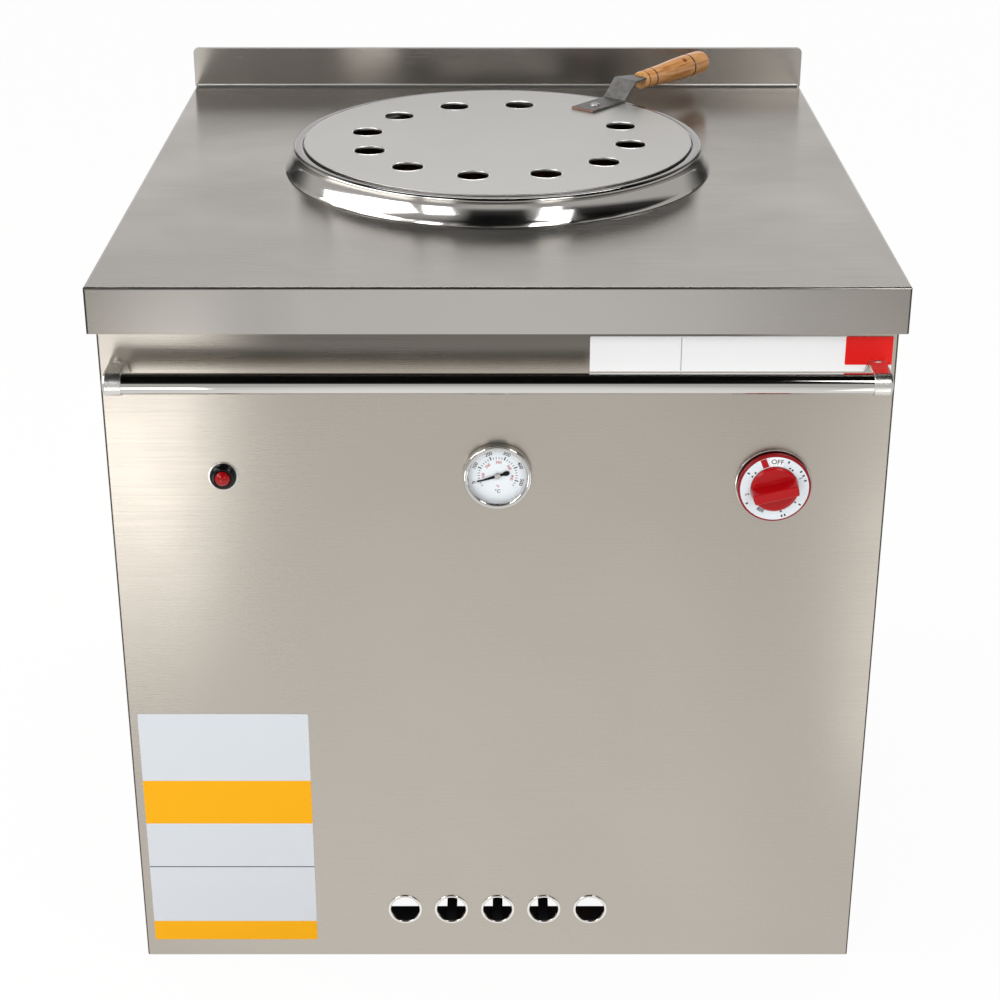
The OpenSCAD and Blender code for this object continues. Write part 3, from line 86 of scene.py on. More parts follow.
# Pieces that touch sink into each other by this much
SINK = 0.02 * MM
# The camera's sensor in mm, and the photograph's framing as shares of its width
SENSOR = 36.0
LENS_SHIFT = (0.00239, -0.08)
# The floor reaches this far each way, this far under the part, and is this white to the eye and
# to shiny metal
FLOOR_REACH = 12.0
FLOOR_DROP = 0.5 * MM
FLOOR_SEEN = 0.95
FLOOR_MIRRORED = 0.86


# ---------- helpers ----------


def linear(code):
    """The linear RGBA of an sRGB hex colour."""
    channels = [int(code[i : i + 2], 16) / 255 for i in (1, 3, 5)]
    curved = [c / 12.92 if c <= 0.04045 else ((c + 0.055) / 1.055) ** 2.4 for c in channels]
    return (*curved, 1.0)


def add(tree, kind, inputs=None, stops=None, **settings):
    """Adds a node with its settings, its linked or typed inputs and, on a ramp, its stops."""
    node = tree.nodes.new("ShaderNode" + kind)
    for name, value in settings.items():
        setattr(node, name, value)
    for name, value in (inputs or {}).items():
        socket = node.inputs[name]
        if isinstance(value, bpy.types.NodeSocket):
            tree.links.new(value, socket)
        else:
            socket.default_value = value
    for i, (place, colour) in enumerate(stops or []):
        elements = node.color_ramp.elements
        element = elements[i] if i < 2 else elements.new(place)
        element.position = place
        element.color = linear(colour) if isinstance(colour, str) else colour
    return node


def finish(name, **inputs):
    """A material with one Principled shader, as the material, its node tree and the shader."""
    material = bpy.data.materials.new(name)
    material.use_nodes = True
    tree = material.node_tree
    shader = tree.nodes["Principled BSDF"]
    for key, value in inputs.items():
        socket = shader.inputs[key.replace("_", " ")]
        socket.default_value = linear(value) if isinstance(value, str) else value
    return material, tree, shader


def place_axes(tree):
    """The X, Y and Z of each place on a surface, in its piece's own frame."""
    place = add(tree, "TexCoord").outputs["Object"]
    return add(tree, "SeparateXYZ", {"Vector": place}).outputs


def roughen(tree, shader, grain, detail, depth):
    """Bumps a surface with noise of a grain's width and depth, and gives the noise's value."""
    place = add(tree, "TexCoord").outputs["Object"]
    noise = add(tree, "TexNoise", {"Vector": place, "Scale": 1 / grain, "Detail": detail})
    bump = add(tree, "Bump", {"Height": noise.outputs["Fac"], "Distance": depth})
    tree.links.new(bump.outputs[0], shader.inputs["Normal"])
    return noise.outputs["Fac"]


def tint(tree, colour, share=1.0, way="MULTIPLY"):
    """Lays a colour over the one that a surface already has, by a share."""
    base = tree.nodes["Principled BSDF"].inputs["Base Color"]
    under = base.links[0].from_socket
    inputs = {"Factor": share, 6: under, 7: colour}
    mixed = add(tree, "Mix", inputs, data_type="RGBA", blend_type=way)
    tree.links.new(mixed.outputs[2], base)


def dress(material, *names):
    """Gives CAD nodes a material."""
    for name in names:
        for slot in nodes[name].material_slots:
            slot.material = material


def middle(name):
    """The middle of a CAD node's box."""
    low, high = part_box(name)
    return (low + high) / 2


def piece(name, mesh, material, body):
    """Adds a mesh as a piece that rides on a body, with the given finish."""
    data = bpy.data.meshes.new(name)
    mesh.to_mesh(data)
    mesh.free()
    data.materials.append(material)
    made = bpy.data.objects.new(name, data)
    bpy.context.scene.collection.objects.link(made)
    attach(made, body)
    return made


def coil(node, material):
    """Stands in for a CAD node's spring with a copy of its mesh that rides on the cabinet, and
    hides the node.
    """
    mesh = bmesh.new()
    mesh.from_mesh(nodes[node].data)
    made = piece(node + "_coil", mesh, material, "cabinet")
    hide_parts(node)
    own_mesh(made)


def soften(name, width):
    """Breaks a CAD node's sharp edges by a small width."""
    weld = nodes[name].modifiers.new("weld", "WELD")
    weld.merge_threshold = 0.002 * MM
    bevel = nodes[name].modifiers.new("broken_edges", "BEVEL")
    bevel.width = width
    bevel.segments = 2
    bevel.limit_method = "ANGLE"
    bevel.angle_limit = math.radians(35)
    bevel.harden_normals = True


def print_outline(mesh, outline, place, height=PRINT):
    """Adds an outline, drawn right and up on the front face at a place, as a thin raised solid."""
    back = [mesh.verts.new((place.x + u, place.y + PRINT / 4, place.z + v)) for u, v in outline]
    front = [mesh.verts.new((p.co.x, place.y - height, p.co.z)) for p in back]
    count = len(outline)
    mesh.faces.new(front)
    mesh.faces.new(back[::-1])
    for i in range(count):
        j = (i + 1) % count
        mesh.faces.new((back[i], back[j], front[j], front[i]))


def print_text(mesh, text, size, place, turn=0.0, height=PRINT):
    """Adds a word or number, centred on a place of the front face and turned clockwise."""
    curve = bpy.data.curves.new("print", "FONT")
    curve.body = text
    curve.size = size
    curve.align_x = "CENTER"
    curve.align_y = "CENTER"
    curve.extrude = height / 2
    curve.offset = size * BOLD
    curve.resolution_u = 3
    letter = bpy.data.objects.new("print", curve)
    flat = letter.to_mesh()
    stand = Matrix.Rotation(turn, 4, "Y") @ Matrix.Rotation(math.radians(90), 4, "X")
    flat.transform(Matrix.Translation(place) @ stand)
    mesh.from_mesh(flat)
    letter.to_mesh_clear()
    bpy.data.objects.remove(letter)
    bpy.data.curves.remove(curve)


def on_circle(centre, radius, clock):
    """A point of the front face on a circle, by its angle in degrees clockwise from the top."""
    a = math.radians(clock)
    return centre + Vector((radius * math.sin(a), 0, radius * math.cos(a)))


def dash(mesh, centre, r_in, r_out, clock, width):
    """Adds one radial line of a dial."""
    a = math.radians(clock)
    along, across = (math.sin(a), math.cos(a)), (math.cos(a), -math.sin(a))
    corners = [(r_in, -1), (r_in, 1), (r_out, 1), (r_out, -1)]
    outline = [
        (r * along[0] + s * width / 2 * across[0], r * along[1] + s * width / 2 * across[1])
        for r, s in corners
    ]
    print_outline(mesh, outline, centre)


# ---------- settings ----------


class TandoorFinishes(bpy.types.PropertyGroup):
    """Colours of the oven's finishes."""

    panel_steel: bpy.props.FloatVectorProperty(
        name="Panel steel",
        description="Brushed stainless steel of the cabinet's panels",
        subtype="COLOR",
        size=4,
        default=linear("#C1BAB0"),
    )
    counter_steel: bpy.props.FloatVectorProperty(
        name="Counter steel",
        description="Brushed stainless steel of the counter",
        subtype="COLOR",
        size=4,
        default=linear("#C8C4BF"),
    )
    lid_steel: bpy.props.FloatVectorProperty(
        name="Lid steel",
        description="Satin stainless steel of the lid",
        subtype="COLOR",
        size=4,
        default=linear("#D6D4D1"),
    )
    knob_red: bpy.props.FloatVectorProperty(
        name="Knob red",
        description="Moulded plastic of the gas knob's grip",
        subtype="COLOR",
        size=4,
        default=linear("#AA060E"),
    )
    label_amber: bpy.props.FloatVectorProperty(
        name="Label amber",
        description="Amber bands of the large label",
        subtype="COLOR",
        size=4,
        default=linear("#F4AE02"),
    )


class TandoorMarks(bpy.types.PropertyGroup):
    """Sizes of the printed marks."""

    numeral: bpy.props.FloatProperty(
        name="Numeral size",
        description="Height of the dial's outer numerals",
        default=5.6 * MM,
        unit="LENGTH",
    )
    inner_numeral: bpy.props.FloatProperty(
        name="Inner numeral size",
        description="Height of the dial's inner numerals",
        default=4.4 * MM,
        unit="LENGTH",
    )
    off_word: bpy.props.FloatProperty(
        name="OFF size",
        description="Height of the word on the knob's scale",
        default=8 * MM,
        unit="LENGTH",
    )


class TandoorStudio(bpy.types.PropertyGroup):
    """Camera and light of the studio."""

    camera_place: bpy.props.FloatVectorProperty(
        name="Camera place",
        description="Where the camera stands",
        subtype="TRANSLATION",
        default=(0.0, -2.4078, 1.5648),
    )
    camera_pitch: bpy.props.FloatProperty(
        name="Camera pitch",
        description="How far the camera looks down",
        subtype="ANGLE",
        default=math.radians(23.329),
    )
    lens: bpy.props.FloatProperty(
        name="Lens",
        description="Focal length on a sensor 36 mm wide",
        default=72.38,
    )
    room: bpy.props.FloatProperty(
        name="Room light",
        description="Strength of the room's light on matt surfaces",
        default=0.88,
    )


# ---------- materials ----------


def brushed_steel(name, colour, roughness, smear=0.7, grain=0.9 * MM, length=110 * MM):
    """Stainless steel sheet brushed with a 150 grit belt: fine scratches left to right, which
    keep reflections crisp along them and smear them across. The real scratches are about
    0.1 mm apart; they are drawn as coarse as they need to show. Upright bends are painted
    dark, a painted shade for the dark line that their curve shows."""
    material, tree, shader = finish(
        name,
        Metallic=1.0,
        Roughness=roughness,
        Anisotropic=smear,
        Anisotropic_Rotation=0.25,
    )
    place = add(tree, "TexCoord").outputs["Object"]
    normal = add(tree, "NewGeometry").outputs["Normal"]
    facing = add(tree, "SeparateXYZ", {"Vector": normal}).outputs
    side = add(tree, "Math", {0: facing["X"]}, operation="ABSOLUTE").outputs[0]
    level = add(tree, "Math", {0: facing["Z"]}, operation="ABSOLUTE").outputs[0]
    # 0 on the front and the back, 1 on the sides, and less than 0 where a face is level
    tilt = add(tree, "Math", {0: level, 1: -2.0, 2: side}, operation="MULTIPLY_ADD").outputs[0]
    # Painted shade: faces that turn between the front and the sides, the upright bends, are
    # darkened
    bend = add(
        tree,
        "ValToRGB",
        {"Fac": tilt},
        stops=[(0.25, "#FFFFFF"), (0.42, "#6A6560"), (0.93, "#6A6560"), (0.985, "#FFFFFF")],
    ).outputs["Color"]
    bend_shaded = add(
        tree,
        "Mix",
        {"Factor": 1.0, 6: colour, 7: bend},
        data_type="RGBA",
        blend_type="MULTIPLY",
    ).outputs[2]
    tree.links.new(bend_shaded, shader.inputs["Base Color"])
    on_side = add(tree, "Math", {0: side, 1: 0.7}, operation="GREATER_THAN").outputs[0]
    along_x = add(tree, "Mapping", {"Vector": place, "Scale": (1 / length, 1 / grain, 1 / grain)})
    along_y = add(tree, "Mapping", {"Vector": place, "Scale": (1 / grain, 1 / length, 1 / grain)})
    lines = add(
        tree,
        "Mix",
        {"Factor": on_side, 4: along_x.outputs[0], 5: along_y.outputs[0]},
        data_type="VECTOR",
    ).outputs[1]
    scratches = add(tree, "TexNoise", {"Vector": lines, "Scale": 1.0, "Detail": 3.0}).outputs["Fac"]
    # Patches about 160 mm across, where the sheet is handled and wiped
    handling = add(tree, "TexNoise", {"Vector": place, "Scale": 1 / 0.16, "Detail": 2.0})
    worn = add(
        tree,
        "MapRange",
        {
            "Value": handling.outputs["Fac"],
            "From Min": 0.3,
            "From Max": 0.7,
            "To Min": roughness - 0.03,
            "To Max": roughness + 0.03,
        },
    ).outputs[0]
    streak = add(
        tree,
        "MapRange",
        {"Value": scratches, "From Min": 0.3, "From Max": 0.7, "To Min": -0.02, "To Max": 0.02},
    ).outputs[0]
    rough = add(tree, "Math", {0: worn, 1: streak}, operation="ADD").outputs[0]
    tree.links.new(rough, shader.inputs["Roughness"])
    bump = add(tree, "Bump", {"Height": scratches, "Distance": 0.0015 * MM, "Strength": 1.0})
    tree.links.new(bump.outputs[0], shader.inputs["Normal"])
    across = add(tree, "VectorMath", {0: normal, 1: (0.0, 0.05, 1.0)}, operation="CROSS_PRODUCT")
    tree.links.new(across.outputs[0], shader.inputs["Tangent"])
    return material


def plain_metal(name, colour, roughness, grain=0.0, depth=0.0):
    """A metal with an even finish, with faint unevenness of the given grain where it has one."""
    material, tree, shader = finish(name, Base_Color=colour, Metallic=1.0, Roughness=roughness)
    if grain:
        rough = add(
            tree,
            "MapRange",
            {
                "Value": roughen(tree, shader, grain, 4.0, depth),
                "From Min": 0.3,
                "From Max": 0.7,
                "To Min": roughness * 0.8,
                "To Max": roughness * 1.25,
            },
        )
        tree.links.new(rough.outputs[0], shader.inputs["Roughness"])
    return material


def smooth_skin(name, colour, roughness, coat=0.0, gloss=0.5):
    """The smooth skin of moulded plastic, vinyl, enamel, glaze or ink, with a very slight orange
    peel, 1.5 mm across. A lower gloss keeps a deep colour from being washed out by the pale
    floor."""
    material, tree, shader = finish(
        name,
        Base_Color=colour,
        Roughness=roughness,
        IOR=1.5,
        Specular_IOR_Level=gloss,
        Coat_Weight=coat,
        Coat_Roughness=0.05,
    )
    roughen(tree, shader, 1.5 * MM, 1.0, 0.01 * MM)
    return material


def pebbled_skin(name, colour):
    """Steel under powder coat or mill scale: matt, with fine pebbles about 0.8 mm across."""
    material, tree, shader = finish(name, Base_Color=colour, Roughness=0.42, IOR=1.5)
    roughen(tree, shader, 0.8 * MM, 2.0, 0.05 * MM)
    return material


def mottled_surface(name, dark, light, grain, depth, roughness=0.9):
    """A fired, fibrous, loose or cast surface, its two tones mottled at its grain's size."""
    material, tree, shader = finish(name, Roughness=roughness, IOR=1.5)
    mottle = roughen(tree, shader, grain, 6.0, depth)
    tone = add(tree, "ValToRGB", {"Fac": mottle}, stops=[(0.35, dark), (0.65, light)])
    tree.links.new(tone.outputs["Color"], shader.inputs["Base Color"])
    return material


def fired_clay():
    """Low-fired terracotta, coiled by hand and smoothed wet: matt and warm, mottled by its
    straw and grog, and darker towards the bottom."""
    material = mottled_surface("fired_terracotta", "#452819", "#6B4029", 14 * MM, 0.8 * MM)
    tree = material.node_tree
    low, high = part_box("clay_pot")
    height = place_axes(tree)["Z"]
    rise_share = add(
        tree,
        "MapRange",
        {"Value": height, "From Min": low.z, "From Max": low.z + 0.45 * (high.z - low.z)},
    ).outputs[0]
    # The pot's colour is darker towards its bottom
    low_darkening = add(tree, "ValToRGB", {"Fac": rise_share}, stops=[(0.0, "#4A4038"), (1.0, "#FFFFFF")])
    tint(tree, low_darkening.outputs["Color"])
    return material


def handle_place(tree, centre, angle):
    """Places in the handle's own axes: X along it, from the lid's middle."""
    place = add(tree, "TexCoord").outputs["Object"]
    inputs = {"Vector": place, "Location": centre, "Rotation": (0.0, 0.0, angle)}
    return add(tree, "Mapping", inputs, vector_type="TEXTURE").outputs[0]


def varnished_wood(angle, centre, front, length, knot_height):
    """Turned beech, varnished: warm orange brown with close grain along the handle, a knot near
    its end and dark burnt grooves where the turner's wire ran."""
    material, tree, shader = finish(
        "varnished_turned_beech", Roughness=0.32, IOR=1.5, Coat_Weight=0.35, Coat_Roughness=0.12
    )
    local = handle_place(tree, centre, angle)
    # Vessels about 45 mm long and 3.2 mm apart, coarser than real beech's so that they show
    fibre = add(
        tree,
        "Mapping",
        {"Vector": local, "Scale": (1 / (45 * MM), 1 / (3.2 * MM), 1 / (3.2 * MM))},
    ).outputs[0]
    grain = add(tree, "TexNoise", {"Vector": fibre, "Scale": 1.0, "Detail": 5.0, "Distortion": 0.4})
    tone = add(
        tree,
        "ValToRGB",
        {"Fac": grain.outputs["Fac"]},
        stops=[(0.3, "#A46C30"), (0.48, "#CA9458"), (0.7, "#E4B888")],
    )
    tree.links.new(tone.outputs["Color"], shader.inputs["Base Color"])
    reach = add(tree, "SeparateXYZ", {"Vector": local}).outputs["X"]
    share = add(
        tree,
        "MapRange",
        {"Value": reach, "From Min": front, "From Max": front + length},
    ).outputs[0]
    # Three grooves: a shallow one that is hardly burnt, and two that are burnt black
    grooves = add(
        tree,
        "ValToRGB",
        {"Fac": share},
        stops=[
            (0.0, "#FFF6E4"),
            (1.0, "#E8D8C4"),
            (0.046, "#FFF6E4"),
            (0.059, "#6A3A1A"),
            (0.07, "#F2DEC4"),
            (0.156, "#F2DEC4"),
            (0.164, "#2E170A"),
            (0.17, "#2E170A"),
            (0.178, "#E8D8C4"),
            (0.701, "#E8D8C4"),
            (0.708, "#1E0E06"),
            (0.718, "#1E0E06"),
            (0.726, "#E8D8C4"),
        ],
    )
    tint(tree, grooves.outputs["Color"])
    knot_place = (front + 0.6 * length, -8.7 * MM, knot_height)
    away = add(tree, "VectorMath", {0: local, 1: knot_place}, operation="DISTANCE").outputs["Value"]
    # The knot takes up 4 mm of this ramp's 10 mm
    knot = add(
        tree,
        "ValToRGB",
        {"Fac": add(tree, "Math", {0: away, 1: 1 / (10 * MM)}, operation="MULTIPLY").outputs[0]},
        stops=[(0.1, "#A8683A"), (0.2, "#E0B88C"), (0.3, "#6E3C1C"), (0.42, "#FFFFFF")],
    )
    tint(tree, knot.outputs["Color"])
    bump = add(tree, "Bump", {"Height": grain.outputs["Fac"], "Distance": 0.08 * MM})
    tree.links.new(bump.outputs[0], shader.inputs["Normal"])
    return material


def strap_steel(angle, centre, foot):
    """Mild steel strap, ground flat by hand and left bare: a grey that clouds over 9 mm, with
    rust where water stands at its foot."""
    material, tree, shader = finish("bare_ground_steel", Metallic=1.0, Roughness=0.45)
    tone = add(
        tree,
        "ValToRGB",
        {"Fac": roughen(tree, shader, 9 * MM, 6.0, 0.04 * MM)},
        stops=[(0.3, "#6E6C6A"), (0.55, "#807E7B"), (0.75, "#8E8C89")],
    )
    tree.links.new(tone.outputs["Color"], shader.inputs["Base Color"])
    reach = add(tree, "SeparateXYZ", {"Vector": handle_place(tree, centre, angle)}).outputs["X"]
    rust = add(
        tree,
        "MapRange",
        {"Value": reach, "From Min": foot + 3.5 * MM, "From Max": foot + 0.5 * MM, "To Max": 0.55},
    ).outputs[0]
    tint(tree, linear("#8A5636"), rust, "MIX")
    return material


def banded_label(amber):
    """Printed vinyl label under a clear film: white and amber bands with thin dark rules."""
    material, tree, shader = finish(
        "printed_vinyl", Roughness=0.5, IOR=1.5, Specular_IOR_Level=0.2
    )
    low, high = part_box("rating_label")
    height = place_axes(tree)["Z"]
    share = add(tree, "MapRange", {"Value": height, "From Min": low.z, "From Max": high.z})
    white, rule = "#D2D7DD", "#3A3C40"
    bands = add(
        tree,
        "ValToRGB",
        {"Fac": share.outputs[0]},
        stops=[
            (0.0, amber),
            (0.0825, rule),
            (0.0855, white),
            (0.331, rule),
            (0.334, white),
            (0.5235, rule),
            (0.5265, amber),
            (0.7115, rule),
            (0.7145, white),
        ],
    )
    bands.color_ramp.interpolation = "CONSTANT"
    tree.links.new(bands.outputs["Color"], shader.inputs["Base Color"])
    return material


# ---------- operators ----------


class TANDOOR_OT_stage(bpy.types.Operator):
    """Sets up the camera, the floor, the room and its lamps"""

    bl_idname = "tandoor.stage"
    bl_label = "Stage"

    def execute(self, context):
        studio = context.scene.tandoor_studio
        lens = bpy.data.cameras.new("photo_camera")
        lens.lens = studio.lens
        lens.sensor_width = SENSOR
        lens.shift_x, lens.shift_y = LENS_SHIFT
        camera = bpy.data.objects.new("photo_camera", lens)
        camera.location = studio.camera_place
        camera.rotation_euler = (math.radians(90) - studio.camera_pitch, 0.0, 0.0)
        context.scene.collection.objects.link(camera)
        context.scene.camera = camera
        context.scene.view_settings.view_transform = "Standard"
        self.lay_floor(context)
        self.light_room(context, studio)
        # Each lamp's name, place, aim, width and height, radiance, and turn about +Z in degrees.
        # The front panel mirrors the floor lights, the mouth ring the banks, and the counter the
        # strip; the keys light what is matt
        counter, panel = (0.0, 0.3, 0.87), (0.0, -0.42, 0.6)
        lamps = (
            ("left_floor_light", (-0.905, -1.93, 0.01), (-0.905, -1.93, 1.0), 0.7, 1.17, 2.4, -8.6),
            ("right_floor_light", (0.825, -1.45, 0.01), (0.825, -1.45, 1.0), 0.45, 1.3, 0.7, 11.2),
            ("left_bank", (-1.7, -0.5, 1.55), (-0.15, -0.15, 0.87), 2.0, 0.7, 3.5, 0.0),
            ("right_bank", (0.81, -1.34, 1.74), (0.1, -0.25, 0.87), 0.5, 0.5, 3.5, 0.0),
            ("rear_strip", (0.0, 0.62, 2.3), counter, 1.6, 0.3, 6.0, 0.0),
            ("left_key", (-1.5, -2.4, 2.0), panel, 0.8, 0.8, 4.0, 0.0),
            ("right_key", (1.3, -2.4, 1.9), panel, 0.5, 0.5, 3.5, 0.0),
        )
        for lamp in lamps:
            self.hang_lamp(context, *lamp)
        return {"FINISHED"}

    def lay_floor(self, context):
        """A pale floor that the camera and shiny metal see almost white, with the object's
        shadow kept. Metal sees it fade a little towards the studio's far end and sides."""
        material, tree, shader = finish(
            "matt_white_vinyl_floor", Roughness=0.9, Base_Color="#EDEBE8"
        )
        path = add(tree, "LightPath").outputs
        through = add(
            tree,
            "Math",
            {0: path["Is Glossy Ray"], 1: path["Is Transmission Ray"]},
            operation="MAXIMUM",
        ).outputs[0]
        mirrored = add(tree, "Math", {0: through, 1: FLOOR_MIRRORED}, operation="MULTIPLY")
        plain = add(tree, "Math", {0: path["Is Camera Ray"], 1: FLOOR_SEEN}, operation="MULTIPLY")
        veil = add(
            tree, "Math", {0: mirrored.outputs[0], 1: plain.outputs[0]}, operation="MAXIMUM"
        )
        axes = place_axes(tree)
        reach = add(tree, "MapRange", {"Value": axes["Y"], "From Min": -0.4, "From Max": -2.8})
        far_fade = add(
            tree,
            "ValToRGB",
            {"Fac": reach.outputs[0]},
            stops=[(0.0, "#FFFFFF"), (0.8, "#E4E4E4")],
        ).outputs["Color"]
        side = add(tree, "Math", {0: axes["X"]}, operation="ABSOLUTE").outputs[0]
        side_fade = add(
            tree,
            "ValToRGB",
            {"Fac": side},
            stops=[(0.25, "#FFFFFF"), (1.0, "#CFCFCF")],
        ).outputs["Color"]
        faded = add(
            tree,
            "Mix",
            {"Factor": 1.0, 6: far_fade, 7: side_fade},
            data_type="RGBA",
            blend_type="MULTIPLY",
        ).outputs[2]
        shown = add(
            tree,
            "Mix",
            {"Factor": path["Is Glossy Ray"], 6: (1, 1, 1, 1), 7: faded},
            data_type="RGBA",
        ).outputs[2]
        white = add(tree, "Emission", {"Color": shown, "Strength": 1.0})
        mixed = add(
            tree,
            "MixShader",
            {0: veil.outputs[0], 1: shader.outputs[0], 2: white.outputs[0]},
        )
        tree.links.new(mixed.outputs[0], tree.nodes["Material Output"].inputs["Surface"])
        mesh = bmesh.new()
        bmesh.ops.create_grid(mesh, x_segments=1, y_segments=1, size=FLOOR_REACH)
        data = bpy.data.meshes.new("floor")
        mesh.to_mesh(data)
        mesh.free()
        data.materials.append(material)
        floor = bpy.data.objects.new("floor", data)
        floor.location.z = -FLOOR_DROP
        context.scene.collection.objects.link(floor)

    def light_room(self, context, studio):
        """A white room to the camera, and an even light to matt surfaces. Shiny metal sees walls
        that end in a dark ceiling: behind the object a white wall, narrower than the room, and in
        front a low grey wall with a tall pale screen to each side."""
        world = bpy.data.worlds.new("studio")
        context.scene.world = world
        world.use_nodes = True
        tree = world.node_tree
        output = tree.nodes["World Output"]
        path = add(tree, "LightPath")
        way = add(tree, "TexCoord").outputs["Generated"]
        axes = add(tree, "SeparateXYZ", {"Vector": way}).outputs
        back_wall = add(
            tree,
            "ValToRGB",
            {"Fac": axes["Z"]},
            stops=[(0.0, "#FFFFFF"), (0.38, "#FFFFFF"), (0.48, "#8C8A88"), (0.6, "#302F2E")],
        ).outputs["Color"]
        front_wall = add(
            tree,
            "ValToRGB",
            {"Fac": axes["Z"]},
            stops=[(0.0, "#C4C2C0"), (0.28, "#C4C2C0"), (0.38, "#3A3938"), (0.55, "#060606")],
        ).outputs["Color"]
        screen = add(
            tree,
            "ValToRGB",
            {"Fac": axes["Z"]},
            stops=[(0.0, "#A8A6A4"), (0.4, "#C4C2C0"), (0.62, "#A8A6A4"), (0.72, "#060606")],
        ).outputs["Color"]
        aside = add(tree, "Math", {0: axes["X"]}, operation="ABSOLUTE").outputs[0]
        across = add(tree, "MapRange", {"Value": axes["X"], "From Min": -1.0}).outputs[0]
        # From left to right: the left screen, the gap before the camera and the right screen
        screened = add(
            tree,
            "ValToRGB",
            {"Fac": across},
            stops=[
                (0.07, "#000000"),
                (0.14, "#FFFFFF"),
                (0.3, "#FFFFFF"),
                (0.39, "#000000"),
                (0.61, "#000000"),
                (0.67, "#FFFFFF"),
                (0.74, "#FFFFFF"),
                (0.82, "#000000"),
            ],
        ).outputs["Color"]
        front_end = add(
            tree, "Mix", {"Factor": screened, 6: front_wall, 7: screen}, data_type="RGBA"
        ).outputs[2]
        narrowed = add(
            tree, "ValToRGB", {"Fac": aside}, stops=[(0.3, "#FFFFFF"), (0.5, "#3A3A3A")]
        ).outputs["Color"]
        back_end = add(
            tree,
            "Mix",
            {"Factor": 1.0, 6: back_wall, 7: narrowed},
            data_type="RGBA",
            blend_type="MULTIPLY",
        ).outputs[2]
        turned_back = add(
            tree,
            "MapRange",
            {"Value": axes["Y"], "From Min": 0.45, "From Max": 0.8},
            interpolation_type="SMOOTHSTEP",
        ).outputs[0]
        walls = add(
            tree, "Mix", {"Factor": turned_back, 6: front_end, 7: back_end}, data_type="RGBA"
        ).outputs[2]
        shiny = add(tree, "Background", {"Color": walls, "Strength": 1.0})
        matt = add(tree, "Background", {"Color": (1, 1, 1, 1), "Strength": studio.room})
        plain = add(tree, "Background", {"Color": (1, 1, 1, 1), "Strength": 1.0})
        mirrored = add(
            tree,
            "Math",
            {0: path.outputs["Is Glossy Ray"], 1: path.outputs["Is Transmission Ray"]},
            operation="MAXIMUM",
        )
        room = add(
            tree, "MixShader", {0: mirrored.outputs[0], 1: matt.outputs[0], 2: shiny.outputs[0]}
        )
        seen = add(
            tree,
            "MixShader",
            {0: path.outputs["Is Camera Ray"], 1: room.outputs[0], 2: plain.outputs[0]},
        )
        tree.links.new(seen.outputs[0], output.inputs["Surface"])

    def hang_lamp(self, context, name, place, aim, width, height, radiance, turn):
        """A softbox of a given radiance, unseen by the camera, turned about +Z by degrees."""
        light = bpy.data.lights.new(name, "AREA")
        light.shape = "RECTANGLE"
        light.size = width
        light.size_y = height
        light.energy = radiance * math.pi * width * height
        lamp = bpy.data.objects.new(name, light)
        aimed = (Vector(aim) - Vector(place)).to_track_quat("-Z", "Y").to_matrix().to_4x4()
        turned = Matrix.Rotation(math.radians(turn), 4, "Z")
        lamp.matrix_world = Matrix.Translation(place) @ turned @ aimed
        lamp.visible_camera = False
        context.scene.collection.objects.link(lamp)


